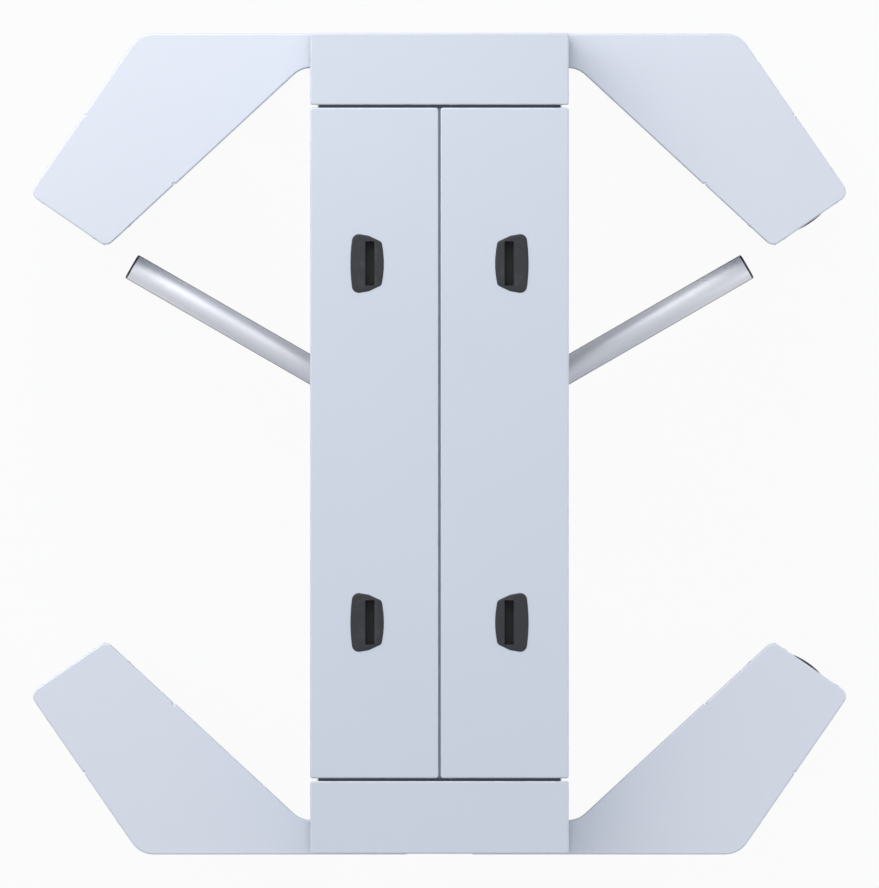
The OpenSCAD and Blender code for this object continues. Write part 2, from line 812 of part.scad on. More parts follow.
module rain_gutter() {
    length = 2 * (tray_end - tray_wall);
    color("slategray") difference() {
        block([gutter_w, length, gutter_h], [-gutter_w / 2, -length / 2, gutter_z]);
        block([gutter_w - 2 * gutter_t, length + 2 * over, gutter_h],
            [-gutter_w / 2 + gutter_t, -length / 2 - over, gutter_z + gutter_t]);
    }
}

module floor_plate_holes() {
    for (i = [0:3])
        rotate([0, 0, 45 + 90 * i]) translate([floor_pcd / 2, 0, 0]) children();
}

module floor_bearing_base() {
    color("dimgray") difference() {
        union() {
            rod(floor_plate_d, 0, floor_plate_t);
            rod(housing_d, floor_plate_t - over, housing_h + over);
        }
        rod(bearing_d, bearing_z, housing_top);
        rod(relief_d, floor_plate_t, housing_top);
        floor_plate_holes() rod(anchor_hole_d, -over, floor_plate_t + 2 * over);
    }
}

module floor_bearing() {
    color("silver") difference() {
        rod(bearing_d - 2 * run_fit, bearing_z, bearing_h);
        rod(stub_d + 2 * run_fit, bearing_z - over, bearing_h + 2 * over);
    }
}

module top_bearing() {
    color("dimgray") difference() {
        union() {
            prism(rounded(rect(top_flange_w, top_flange_w), same(bolt_d, 4), small_n), tray_top, top_flange_t);
            rod(top_boss_d, tray_top + top_flange_t - over, top_bearing_h - top_flange_t + over);
        }
        rod(shaft_d + 2 * run_fit, tray_top - over, top_bearing_h + 2 * over);
        top_bearing_bolts() rod(bolt_hole_d, tray_top - over, top_flange_t + 2 * over);
    }
}

module drive_motor() {
    body_z = motor_flange_z + motor_flange_t;
    band = motor_h / 6;
    color("dimgray") translate([0, motor_y, 0]) difference() {
        union() {
            prism(rounded(rect(motor_flange_w, motor_flange_w), same(bolt_d, 4), small_n),
                motor_flange_z, motor_flange_t);
            rod(motor_d, body_z - over, motor_h + over);
        }
        for (i = [1:2:5])
            difference() {
                rod(motor_d + over, body_z + i * band, band / 2);
                rod(motor_d - 2 * belt_t, body_z + i * band - over, band);
            }
        rod(motor_shaft_d + 2 * run_fit, motor_flange_z - over, motor_flange_t + motor_h / 2);
    }
}

module motor_bracket() {
    color("silver") translate([0, motor_y, 0]) difference() {
        block([bracket_w, bracket_w, motor_flange_z - tray_top], [-bracket_w / 2, -bracket_w / 2, tray_top]);
        block([bracket_w - 2 * bracket_wall, bracket_w + 2 * over, motor_plate_z - tray_top + over],
            [-bracket_w / 2 + bracket_wall, -bracket_w / 2 - over, tray_top - over]);
        rod(motor_shaft_d + 5 * run_gap, motor_plate_z - over, bracket_t + 2 * over);
    }
}

module drive_belt() {
    color("black") difference() {
        prism(belt_line(belt_fit + belt_t), belt_z, belt_w);
        prism(belt_line(belt_fit), belt_z - over, belt_w + 2 * over);
    }
}

// Pulley with a rim at each end, its lower end at the pulleys' level
module pulley(r) {
    rod(2 * (r + rim_h), pulley_z, rim_t);
    rod(2 * r, pulley_z, pulley_w);
    rod(2 * (r + rim_h), pulley_z + pulley_w - rim_t, rim_t);
}

module windows(r, z, h) {
    for (i = [0:window_count - 1])
        rotate([0, 0, i * 360 / window_count]) translate([window_share * r, 0, 0])
            rod(window_width_share * r, z - over, h + 2 * over);
}

module lock_brackets() {
    wide = platform_x1 - platform_x0;
    deep = platform_y1 - platform_y0;
    color("silver")
        for (side = [0, 1])
            mirror([side, 0, 0]) {
                difference() {
                    block([wide, deep, platform_z + platform_t - tray_top], [platform_x0, platform_y0, tray_top]);
                    block([wide + 2 * over, deep - 2 * bracket_wall, platform_z - tray_top + over],
                        [platform_x0 - over, platform_y0 + bracket_wall, tray_top - over]);
                }
                translate([pivot_x, -pivot_y, 0]) {
                    rod(pivot_d, platform_z, disc_z + disc_t + run_gap - platform_z);
                    rod(pawl_boss_d, platform_z + platform_t - over,
                        disc_z - fit - platform_z - platform_t + over);
                }
            }
}

module lock_solenoids() {
    color("saddlebrown")
        for (side = [0, 1])
            mirror([side, 0, 0]) difference() {
                block([solenoid_l, solenoid_w, solenoid_h],
                    [solenoid_x, plunger_y - solenoid_w / 2, platform_z + platform_t]);
                translate([solenoid_x - over, plunger_y, disc_z + disc_t / 2]) rotate([0, 90, 0])
                    rod(plunger_d + 2 * run_fit, 0, solenoid_l * 3 / 4 + over);
            }
}

module control_board() {
    top = tray_top + standoff_h + board_t;
    color("darkgreen") translate([board_at.x, board_at.y, 0]) {
        prism(rect(board_w, board_l), tray_top + standoff_h, board_t);
        for (x = [-1, 1], y = [-1, 1])
            translate([x * (board_w / 2 - board_inset), y * (board_l / 2 - board_inset), 0])
                rod(standoff_d, tray_top, standoff_h + over);
        for (i = [0:relay_count - 1])
            translate([-board_w / 4, (i - (relay_count - 1) / 2) * board_l / (relay_count + 1), 0])
                prism(rect(relay_size.x, relay_size.y), top - over, relay_size.z + over);
        for (side = [-1, 1])
            translate([board_w / 5, side * board_l / 5, 0])
                rod(capacitor_d, top - over, capacitor_h + over);
        for (side = [-1, 1])
            translate([0, side * (board_l / 2 - header_size.y), 0])
                prism(rect(header_size.x, header_size.y), top - over, header_size.z + over);
    }
}

module power_supply() {
    color("silver") translate([supply_at.x, supply_at.y, 0]) difference() {
        prism(rect(supply_w, supply_l), tray_top, supply_h);
        for (i = [0:vent_count - 1])
            translate([0, (i - (vent_count - 1) / 2) * supply_l / (vent_count + 1), 0])
                prism(rect(vent_size.x, vent_size.y), tray_top + supply_h - pillar_t, pillar_t + over);
    }
}

module terminal_row() {
    pitch = terminal_w + run_gap / 2;
    length = pitch * (terminal_count + 2);
    color("lightgray") translate([0, terminal_y, 0]) {
        prism(rect(length, rail_w), tray_top, rail_h);
        for (i = [0:terminal_count - 1])
            translate([(i - (terminal_count - 1) / 2) * pitch, 0, 0])
                prism(rect(terminal_w, terminal_d), tray_top + rail_h - over, terminal_h + over);
    }
}

// Upright curved face on a wall's end, w wide, h high and standing out
module end_face_piece(w, h, out, z) {
    r = (w * w / 4 + out * out) / (2 * out);
    half = asin(w / 2 / r);
    translate([end_mid.x, end_mid.y, 0]) rotate([0, 0, -outer_ang])
        prism(arc([out - r, 0], r, -half, half, arc_n), z - h / 2, h);
}

module status_indicator() {
    color("dimgray") quadrant(true, true) end_face_piece(lamp_w, lamp_h, lamp_out, wall_h - lamp_drop);
}

module card_reader() {
    color("dimgray") quadrant(true, false) end_face_piece(reader_w, reader_h, reader_out, reader_z);
}

module beam_bolts() {
    color("silver") {
        post_bolts() bolt(tray_top, tray_top - head_z);
        top_bearing_bolts() bolt(tray_top + top_flange_t, tray_floor + top_flange_t);
    }
}

module rotor_column() {
    color("silver") tube(column_d, column_wall, rotor_z, rotor_len);
}

module wing_posts() {
    color("silver")
        for (a = wing_angles)
            rotate([0, 0, a]) translate([wing_post_at + wing_post_d / 2, 0, 0])
                box_tube(wing_post_d, wing_post_w, wing_post_wall, wing_post_r, rotor_z, rotor_len);
}

module bottom_hub() {
    color("silver") {
        rod(hub_d, bottom_hub_z, hub_t);
        rod(shoulder_d, bearing_top + fit, bottom_hub_z - bearing_top - fit + over);
        rod(stub_d, stub_end, bottom_hub_z - stub_end + over);
    }
}

module hub_bolt_places() {
    for (a = wing_angles)
        rotate([0, 0, a + 60]) translate([hub_bolt_r, 0, 0]) children();
}

module top_hub() {
    color("silver") difference() {
        rod(hub_d, top_hub_z, hub_t);
        hub_bolt_places() rod(bolt_hole_d, top_hub_z - over, hub_t + 2 * over);
    }
}

// Carries a shape that stands along +Z to each arm of a wing, its base at the wing post
module each_arm(a) {
    for (i = [0:arm_count - 1])
        rotate([0, 0, a]) translate([arm_in, 0, arm_first + i * arm_pitch]) rotate([0, 90, 0]) children();
}

module rotor_arms(a) {
    color("silver") each_arm(a) tube(arm_d, arm_wall, 0, arm_len);
}

module arm_plugs() {
    color("dimgray")
        for (a = wing_angles)
            each_arm(a) tube_plug(arm_len);
}

module drive_shaft() {
    color("silver") difference() {
        union() {
            rod(flange_d, flange_z, flange_t);
            rod(shaft_d, flange_z + flange_t - over, shaft_end - flange_z - flange_t + over);
        }
        hub_bolt_places() rod(bolt_hole_d, flange_z - over, flange_t + 2 * over);
    }
}

module driven_pulley() {
    color("gray") difference() {
        union() {
            pulley(driven_r);
            rod(pulley_hub_d, pulley_z, disc_z - pulley_z);
        }
        rod(shaft_d + 2 * run_fit, pulley_z - over, disc_z - pulley_z + 2 * over);
        windows(driven_r, pulley_z, pulley_w);
    }
}

module locking_disc() {
    color("silver") difference() {
        rod(2 * disc_r, disc_z, disc_t);
        rod(shaft_d + 2 * run_fit, disc_z - over, disc_t + 2 * over);
        windows(disc_r, disc_z, disc_t);
        for (i = [0:notch_count - 1])
            rotate([0, 0, i * 360 / notch_count])
                block([notch_h + over, notch_w, disc_t + 2 * over],
                    [disc_r - notch_h, -notch_w / 2, disc_z - over]);
    }
}

module hub_bolts() {
    color("dimgray") hub_bolt_places() bolt(flange_z + flange_t, flange_t + hub_t);
}

module motor_pulley() {
    color("gray") translate([0, motor_y, 0]) {
        pulley(motor_r);
        rod(motor_shaft_d, pulley_z + pulley_w - over, motor_shaft_in - pulley_z - pulley_w + over);
    }
}

module lock_pawl(side) {
    color("goldenrod") mirror([side, 0, 0]) translate([pivot_x, -pivot_y, 0]) difference() {
        union() {
            rod(pawl_boss_d, disc_z, disc_t);
            prism(pawl_plan, disc_z, disc_t);
        }
        rod(pivot_d + 2 * run_fit, disc_z - over, disc_t + 2 * over);
    }
}

module plunger(side) {
    color("silver") mirror([side, 0, 0]) translate([plunger_x, plunger_y, disc_z + disc_t / 2])
        rotate([0, 90, 0]) rod(plunger_d, 0, plunger_l);
}

// Lid over one half of the beam's width, drawn for the right half
module lid_shape() {
    depth = total_h - skirt_z;
    wide = beam_w / 2 - lid_gap / 2;
    mid_x = lid_gap / 2 + wide / 2;
    length = lid_end(true) + lid_end(false);
    start = -lid_end(false);
    difference() {
        union() {
            intersection() {
                translate([mid_x, start + length / 2, 0])
                    prism(rounded(rect(wide, length), same(lid_r, 4), small_n), skirt_z, depth);
                union() {
                    block([wide, length, lid_t], [lid_gap / 2, start, lid_z]);
                    block([lid_t, length, depth], [beam_w / 2 - lid_t, start, skirt_z]);
                    block([lid_t, length, lid_flange + lid_t], [lid_gap / 2, start, lid_z - lid_flange]);
                }
            }
            for (back = [false, true])
                mirror([0, back ? 0 : 1, 0])
                    block([flange_x1 - flange_x0, lid_t, lid_flange + over],
                        [flange_x0, lid_end(back) - lid_t, lid_z - lid_flange]);
        }
        for (back = [false, true])
            translate([grip_x, (back ? 1 : -1) * grip_y(back), 0])
                prism(rounded(rect(pocket_w + 2 * fit, pocket_l + 2 * fit), same(tube_r, 4), small_n),
                    lid_z - over, lid_t + 2 * over);
        translate([beam_w / 2 - lid_t - over, 0, lock_z]) rotate([0, 90, 0])
            rod(lock_d + 2 * run_fit, 0, lid_t + 2 * over);
    }
}

module lid(side) {
    color("lightsteelblue") mirror([side, 0, 0]) lid_shape();
}

// Grip with a bezel on the lid, a finger slot and a closed pocket below the lid
module grip() {
    difference() {
        union() {
            prism(rounded(grip_plan, grip_radii, small_n), total_h, grip_t);
            prism(rounded(rect(pocket_w, pocket_l), same(tube_r, 4), small_n), pocket_z, pocket_h + grip_t / 2);
        }
        prism(
            rounded(rect(pocket_w - 2 * pocket_t, pocket_l - 2 * pocket_t), same(tube_r - pocket_t, 4), small_n),
            pocket_z + pocket_t, pocket_h - pocket_t);
        translate([-slot_in, 0, 0])
            prism(rect(slot_w, slot_l), total_h - over, grip_t + 2 * over);
    }
}

module grips(side) {
    color("dimgray") mirror([side, 0, 0])
        for (back = [false, true])
            translate([grip_x, (back ? 1 : -1) * grip_y(back), 0]) grip();
}

module lid_lock(side) {
    color("dimgray") mirror([side, 0, 0]) {
        translate([cam_x, 0, lock_z]) rotate([0, 90, 0]) rod(lock_d, 0, lock_face - cam_x);
        block([cam_t, cam_w, cam_l], [cam_x, -cam_w / 2, lock_z - cam_l]);
    }
}

centre_post(false);  // centre_post_front
centre_post(true);  // centre_post_back
corner_posts();
wall_cover(false, false);  // wall_cover_front_left
wall_cover(true, false);  // wall_cover_front_right
wall_cover(false, true);  // wall_cover_back_left
wall_cover(true, true);  // wall_cover_back_right
end_pillar(false, false);  // end_pillar_front_left
end_pillar(true, false);  // end_pillar_front_right
end_pillar(false, true);  // end_pillar_back_left
end_pillar(true, true);  // end_pillar_back_right
guide_bars(false);  // guide_bars_front
guide_bars(true);  // guide_bars_back
floor_sills();
comb_strip();
comb_tubes();
comb_plugs();
beam_tray();
end_cap(false);  // end_cap_front
end_cap(true);  // end_cap_back
rain_gutter();
floor_bearing_base();
floor_bearing();
top_bearing();
drive_motor();
motor_bracket();
drive_belt();
lock_brackets();
lock_solenoids();
control_board();
power_supply();
terminal_row();
status_indicator();
card_reader();
beam_bolts();
rotor_column();
wing_posts();
bottom_hub();
top_hub();
rotor_arms(wing_angles[0]);  // rotor_arms_a
rotor_arms(wing_angles[1]);  // rotor_arms_b
rotor_arms(wing_angles[2]);  // rotor_arms_c
arm_plugs();
drive_shaft();
driven_pulley();
locking_disc();
hub_bolts();
motor_pulley();
lock_pawl(1);  // lock_pawl_left
lock_pawl(0);  // lock_pawl_right
plunger(1);  // plunger_left
plunger(0);  // plunger_right
lid(1);  // lid_left
lid(0);  // lid_right
grips(1);  // grips_left
grips(0);  // grips_right
lid_lock(1);  // lid_lock_left
lid_lock(0);  // lid_lock_right
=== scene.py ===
"""Looks of the full height turnstile: folded sheet, tubes, plastic, machinery and the studio.

Every piece is a surface worked out with numpy in the frame of the CAD model, in metres.
The rotor turns about Z, +X is the end with the reader, +Y the side that the comb closes.
"""

import bmesh
import bpy
import numpy as np
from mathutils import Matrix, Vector
from mathutils.geometry import tessellate_polygon


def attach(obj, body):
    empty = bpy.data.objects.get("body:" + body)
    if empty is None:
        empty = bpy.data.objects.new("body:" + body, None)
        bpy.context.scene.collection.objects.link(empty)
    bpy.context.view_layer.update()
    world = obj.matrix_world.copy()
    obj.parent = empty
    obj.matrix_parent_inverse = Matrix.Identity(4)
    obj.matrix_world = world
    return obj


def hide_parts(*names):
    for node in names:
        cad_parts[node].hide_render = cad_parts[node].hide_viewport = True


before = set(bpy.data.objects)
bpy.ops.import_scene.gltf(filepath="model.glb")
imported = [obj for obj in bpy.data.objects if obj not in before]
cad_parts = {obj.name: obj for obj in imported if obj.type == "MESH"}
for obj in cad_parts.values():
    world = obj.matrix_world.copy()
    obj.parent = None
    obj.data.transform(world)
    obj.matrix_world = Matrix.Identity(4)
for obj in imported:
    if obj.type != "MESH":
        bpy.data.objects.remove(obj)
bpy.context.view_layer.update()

bl_info = {
    "name": "Full height turnstile",
    "version": (1, 0, 0),
    "blender": (4, 5, 0),
    "location": "3D View > Sidebar > Turnstile",
    "description": "Dresses the turnstile with folded sheet, tubes, fittings, materials and light",
    "category": "Add Mesh",
}

SHARP_ANGLE = np.radians(34.0)
WELD_DISTANCE = 1e-6

# Levels of the walls, the rotor and the beam
PLATE_TOP = 0.010
SILL_TOP = 0.020
COVER_LOW = 2.050
WALL_TOP = 2.110
ROTOR_LOW, ROTOR_TOP = 0.072, 2.076
SKIRT_LOW = 2.122
TRAY_FLOOR = 2.114
TRAY_TOP = 2.318
LID_TOP = 2.320
ARMS, FIRST_ARM, ARM_PITCH = 12, 0.170, 0.164
ARM_LEVELS = FIRST_ARM + ARM_PITCH * np.arange(ARMS)
COMB_LEVELS = FIRST_ARM + ARM_PITCH * (np.arange(ARMS - 1) + 0.5)

# Plan of one wall in the quadrant +X +Y
HALF_L = 0.780
INNER_Y = 0.716
GAP_X = 0.062
END_W = 0.178
OUTER, INNER = np.radians(55.4), np.radians(42.8)
ALONG_IN = np.array([np.cos(INNER), -np.sin(INNER)])
INTO_WALL = np.array([np.sin(INNER), np.cos(INNER)])
ALONG_OUT = np.array([-np.cos(OUTER), np.sin(OUTER)])
OUT_OF_WALL = np.array([np.sin(OUTER), np.cos(OUTER)])
TIP_OUT = np.array([0.7795, 0.475])
TIP_IN = TIP_OUT - END_W * OUT_OF_WALL
CORNER = np.array([TIP_OUT[0] - (HALF_L - TIP_OUT[1]) / np.tan(OUTER), HALF_L])
KNEE = np.array([TIP_IN[0] - (INNER_Y - TIP_IN[1]) / np.tan(INNER), INNER_Y])
SEAM_IN = TIP_IN - 0.176 * ALONG_IN
SEAM_OUT = TIP_OUT + 0.183 * ALONG_OUT
END_MID = (TIP_IN + TIP_OUT) / 2
CORNER_POST = np.array([CORNER[0] - 0.066, HALF_L - 0.059])
POST_Y = HALF_L - 0.032
ANCHOR_HOLE = 0.007
TIP_ROUND, KNEE_ROUND = 0.018, 0.050

# Rotor, comb and beam
TUBE_R, COLUMN_R = 0.0254, 0.03805
ARM_IN, ARM_OUT, SWEEP = 0.080, 0.673, 0.677
COMB_START, COMB_TIP = 0.710, 0.118
WINGS = np.radians([30, 150, 270])
BEAM_HALF = 0.245
CAP_START = {"front": 0.6385, "back": 0.6425}
CAP_END = {"front": 0.7765, "back": 0.779}
CAP_GAP = 0.005
LID_ENDS = -CAP_START["front"] + CAP_GAP, CAP_START["back"] - CAP_GAP
SHEET, FLAT_MARGIN = 0.002, 0.0006
GRIP_X, GRIP_BACK = 0.137, 0.2955
GRIP_Y = LID_ENDS[0] + GRIP_BACK, LID_ENDS[1] - GRIP_BACK

# Heights of the controls on the end faces, and how far their faces bulge
READER_Z, READER_BULGE = 1.100, 0.005
LAMP_Z, LAMP_BULGE = 1.780, 0.003

SQUARE = np.array([[-1, -1], [1, -1], [1, 1], [-1, 1]])
SIDES = (("left", False), ("right", True))
QUADRANTS = [(end, side, right, end == "back") for end in ("front", "back")
             for side, right in SIDES]


# Plans and sections

def unit(vectors):
    """Each vector divided by its length."""
    return vectors / np.linalg.norm(vectors, axis=-1, keepdims=True)


def around_circle(count):
    """Angles of that many points, evenly round a circle."""
    return np.linspace(0, 2 * np.pi, count, endpoint=False)


def direction(angle):
    """Unit vector at each angle: its cosine and its sine."""
    return np.stack([np.cos(angle), np.sin(angle)], -1)


def outline(corners, radii, inset=0.0, steps=6):
    """Rounded plan that runs anticlockwise.

    Every edge moves in by the inset along its normal, so a corner moves by the sum of its two
    normals times the inset over one plus their dot product. The corner is then an arc whose
    radius is the given one less the inset, or plus the inset at an inward bend.
    """
    at = np.asarray(corners, float)
    radii = np.broadcast_to(np.asarray(radii, float), len(at))
    before, after = unit(at - np.roll(at, 1, 0)), unit(np.roll(at, -1, 0) - at)
    out_a = np.stack([before[:, 1], -before[:, 0]], 1)
    out_b = np.stack([after[:, 1], -after[:, 0]], 1)
    cross = before[:, 0] * after[:, 1] - before[:, 1] * after[:, 0]
    turn = np.arctan2(cross, (before * after).sum(1))
    side = np.sign(turn)
    mitre = (out_a + out_b) / (1 + (out_a * out_b).sum(1))[:, None]
    radius = np.maximum(radii - inset * side, 0.0003)
    middle = at - (inset + side * radius)[:, None] * mitre
    start = np.arctan2(side * out_a[:, 1], side * out_a[:, 0])
    angle = start[:, None] + turn[:, None] * np.linspace(0, 1, steps + 1)
    return (middle[:, None] + radius[:, None, None] * direction(angle)).reshape(-1, 2)


def rect(width, depth, at=(0.0, 0.0)):
    """Four corners of a rectangle about a point, anticlockwise."""
    return SQUARE * [width / 2, depth / 2] + np.asarray(at)


def circle(radius, at=(0.0, 0.0), count=32):
    """Points of a circle, evenly by angle."""
    return direction(around_circle(count)) * radius + np.asarray(at)


def finer(plan, parts):
    """Plan with each of its sides cut into equal parts."""
    share = np.arange(parts)[:, None] / parts
    return (plan[:, None] + share * (np.roll(plan, -1, 0) - plan)[:, None]).reshape(-1, 2)


def lift(plan, z):
    """Points of a plan at a height, or at one height for each point."""
    heights = np.broadcast_to(np.asarray(z, float), len(plan))
    return np.concatenate([plan, heights[:, None]], 1)


def stack_rings(corners, radii, rows, steps=6):
    """Grid of one rounded outline for each row of inset and height."""
    return np.stack([lift(outline(corners, radii, d, steps), z) for d, z in rows])


def turned_section(rows, count=40):
    """Section of radius and height carried round Z, a column for each step of angle.

    A radius or a height is one number, or one for each step.
    """
    a = around_circle(count)
    return np.stack([np.stack([r * np.cos(a), r * np.sin(a), z + 0 * a], -1) for r, z in rows])


def lay_along_x(points):
    """Turns a shape that stands along Z so that it lies along X."""
    return np.stack([points[..., 2], points[..., 1], -points[..., 0]], -1)


def lay_along_y(points):
    """Turns a shape that stands along Z so that it lies along Y."""
    return np.stack([-points[..., 0], points[..., 2], points[..., 1]], -1)


def about_z(points, angle):
    """Points turned about Z."""
    c, s = np.cos(angle), np.sin(angle)
    return points @ np.array([[c, s, 0], [-s, c, 0], [0, 0, 1]])


def fold(bend, count=5):
    """Quarter circle of a fold: inset and drop below the flat, from the flat to the side face."""
    a = np.linspace(0, np.pi / 2, count)
    return np.stack([bend * (1 - np.sin(a)), bend * (1 - np.cos(a))], 1)


def bevelled(low, top, bevel):
    """Rows of inset and height up the side of a plate whose two edges are rounded."""
    inset, drop = fold(bevel, 4).T
    return np.vstack([np.stack([inset, low + drop], 1), np.stack([inset, top - drop], 1)[::-1]])


def at_levels(levels):
    """Offsets up Z, one for each copy of a grid."""
    return lift(np.zeros((len(levels), 2)), levels)[:, None, None]


class Surface:
    """Gathers grids and flat faces into one piece, with a wear value at each point."""

    def __init__(self):
        self.points, self.wear, self.faces, self.maps, self.count = [], [], [], [], 0

    def _add(self, points, wear):
        flat = points.reshape(-1, 3)
        self.points.append(flat)
        self.wear.append(np.broadcast_to(wear, points.shape[:-1]).reshape(-1))
        first = self.count
        self.count += len(flat)
        return np.arange(first, self.count).reshape(points.shape[:-1])

    def grid(self, points, around=True, closed=False, ends=(False, False), wear=0.0):
        """Quads from each row of points to the next.

        points is rows by columns, or several such grids. around joins the last column to the
        first, closed the last row to the first, and ends shuts the first and the last row. The
        map runs along the columns and rows by their mean distance, in metres.
        """
        points = np.asarray(points, float)
        points = points.reshape((-1,) + points.shape[-3:])
        wear = np.broadcast_to(np.asarray(wear, float), points.shape[1:2])[None, :, None]
        index = self._add(points, np.broadcast_to(wear, points.shape[:-1]))
        rows, columns = points.shape[1:3]
        one = points[0]
        step_c = np.linalg.norm(np.roll(one, -1, 1) - one, axis=-1).mean(0)
        step_r = np.linalg.norm(np.roll(one, -1, 0) - one, axis=-1).mean(1)
        u, v = np.append(0, np.cumsum(step_c)), np.append(0, np.cumsum(step_r))
        column, row = np.arange(columns + bool(around)), np.arange(rows + bool(closed))
        index_grid = index[:, row % rows][:, :, column % columns]
        flat_map = np.stack(np.meshgrid(v[row], u[column], indexing="ij"), -1)[..., ::-1]

        def quads(a):
            corners = a[..., :-1, :-1], a[..., :-1, 1:], a[..., 1:, 1:], a[..., 1:, :-1]
            return np.stack(corners, -1)

        self.faces += quads(index_grid).reshape(-1, 4).tolist()
        face_maps = np.stack([quads(flat_map[..., k]) for k in (0, 1)], -1).reshape(-1, 2)
        self.maps.append(np.tile(face_maps, (len(points), 1)))
        for shut, ring in zip(ends, (index[:, 0], index[:, -1])):
            if shut:
                self.faces += ring.tolist()
                self.maps.append(np.zeros((ring.size, 2)))
        return self

    def copies(self, shape, places, **options):
        """One copy of a grid at each place."""
        places = np.asarray(places, float).reshape(-1, 3)
        return self.grid(shape[None] + places[:, None, None, :], **options)

    def flat(self, loops):
        """Flat face inside the first loop and outside the others, cut into triangles."""
        index = self._add(np.vstack(loops), 0.0)
        triangles = tessellate_polygon([[Vector(p) for p in loop] for loop in loops])
        self.faces += index[np.array(triangles)].tolist()
        self.maps.append(np.zeros((3 * len(triangles), 2)))
        return self

    def take(self, other):
        """Takes over everything that another surface holds."""
        self.faces += [[i + self.count for i in face] for face in other.faces]
        self.points += other.points
        self.wear += other.wear
        self.maps += other.maps
        self.count += other.count
        return self

    def piece(self, name, body, slot, nodes=(), finish=None):
        """Makes the mesh, joins doubles, points the faces outwards and rides it on its body.

        Its material is the finish of that name, or else the one named like its slot.
        """
        mesh = bpy.data.meshes.new(name)
        mesh.from_pydata(np.vstack(self.points), [], self.faces)
        wear = mesh.attributes.new("wear", "FLOAT", "POINT")
        wear.data.foreach_set("value", np.concatenate(self.wear).astype(np.float32))
        layer = mesh.uv_layers.new(name="surface")
        layer.data.foreach_set("uv", np.vstack(self.maps).astype(np.float32).ravel())
        work = bmesh.new()
        work.from_mesh(mesh)
        bmesh.ops.remove_doubles(work, verts=work.verts, dist=WELD_DISTANCE)
        bmesh.ops.recalc_face_normals(work, faces=work.faces)
        work.to_mesh(mesh)
        work.free()
        mesh.polygons.foreach_set("use_smooth", np.ones(len(mesh.polygons), bool))
        mesh.set_sharp_from_angle(angle=SHARP_ANGLE)
        made = bpy.data.objects.new(name, mesh)
        bpy.context.scene.collection.objects.link(made)
        mesh.materials.append(MATERIALS[finish or slot])
        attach(made, body)
        if nodes:
            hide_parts(*nodes)


class Mirrored(Surface):
    """Surface whose grids and faces are carried over to one quadrant as they are added."""

    def __init__(self, right, back=True):
        super().__init__()
        self.right, self.back = right, back

    def _add(self, points, wear):
        return super()._add(mirror(points, self.right, self.back), wear)


def mirror(points, right, back=True):
    """Points of the quadrant +X +Y carried over to another quadrant."""
    return np.asarray(points) * [1 if right else -1, 1 if back else -1, 1]


def close_ends(surface, rings, first, last, holes):
    """Flat faces on the first and the last ring, and the walls of the holes between them."""
    for ring, z in ((rings[0], first), (rings[-1], last)):
        surface.flat([ring] + [lift(hole, z) for hole in holes])
    for hole in holes:
        surface.grid(np.stack([lift(hole, first), lift(hole, last)]))
    return surface


def folded_sheet(surface, corners, radii, top, low, bend, holes=()):
    """Sheet tray turned upside down, with a rounded fold, a side wall and an inner face.

    low is the height of the lower edge, one number or one for each point of the outline. Each
    row is an inset, a share of the way down and an offset, and its height is the top plus the
    share times the depth plus the offset. The first row lies flat just inside the fold, so that
    the flat keeps one normal all over.
    """
    steps = 8
    rows = [(bend + FLAT_MARGIN, 0.0, 0.0)] + [(d, 0.0, -z) for d, z in fold(bend)]
    rows += [(0, 0.02, -bend), (0, 0.98, 0), (0, 1, SHEET / 3), (SHEET / 3, 1, 0),
             (SHEET * 2 / 3, 1, 0), (SHEET, 1, SHEET / 3), (SHEET, 0.0, -SHEET)]
    low = np.broadcast_to(np.asarray(low, float), len(corners) * (steps + 1))
    rings = np.stack([lift(outline(corners, radii, inset, steps), top + share * (low - top) + z)
                      for inset, share, z in rows])
    # Wear is highest on the fold and the lower edge, where a paint's dark rub colour paints shade
    surface.grid(rings, wear=[0, 0, 0.6, 1, 0.6, 0, 0, 0, 0.8, 1, 0.6, 0, 0])
    return close_ends(surface, rings, top, top - SHEET, holes)


def plate(surface, corners, radii, low, top, bevel=0.001, holes=(), steps=6):
    """Flat plate with rounded edges and holes that go through."""
    rings = stack_rings(corners, radii, bevelled(low, top, bevel), steps)
    surface.grid(rings, wear=[1, 0.8, 0.3, 0, 0, 0.3, 0.8, 1])
    return close_ends(surface, rings, low, top, holes)


def weld_bead(radius, at, leg, count=88, ripples=29):
    """Weld bead between a tube along Z and a face at a height.

    Across it, the radius grows by the leg times one minus the share to the power 0.8, and the
    height by the leg times the share to that power. The bead swells and shrinks along its run
    with the sine of the ripples times the angle.
    """
    share = np.linspace(0, 1, 5)
    rows = np.stack([radius + leg * (1 - share) ** 0.8, at + leg * share ** 0.8], 1)
    rings = turned_section(rows, count)
    crown = np.sin(np.pi * np.linspace(0.1, 0.9, len(rows)))[:, None]
    swell = 1 + 0.035 * np.sin(ripples * around_circle(count)) * crown
    rings[..., :2] *= (1 + (swell - 1) * leg * 6 / radius)[..., None]
    return rings


def knee_at(distance):
    """Point of the bend that lies a distance behind the inner edge."""
    return KNEE + distance * np.array([np.tan(INNER / 2), 1.0])


def seam_at(distance):
    """Point of the seam that lies a distance behind the inner edge."""
    along = unit(SEAM_OUT - SEAM_IN)
    return SEAM_IN + along * distance / (along @ INTO_WALL)


# Materials

GREY = (0.5, 0.5, 0.5, 1.0)


def opaque(colour):
    """Colour with an alpha of one."""
    return tuple(colour) + (1.0,)


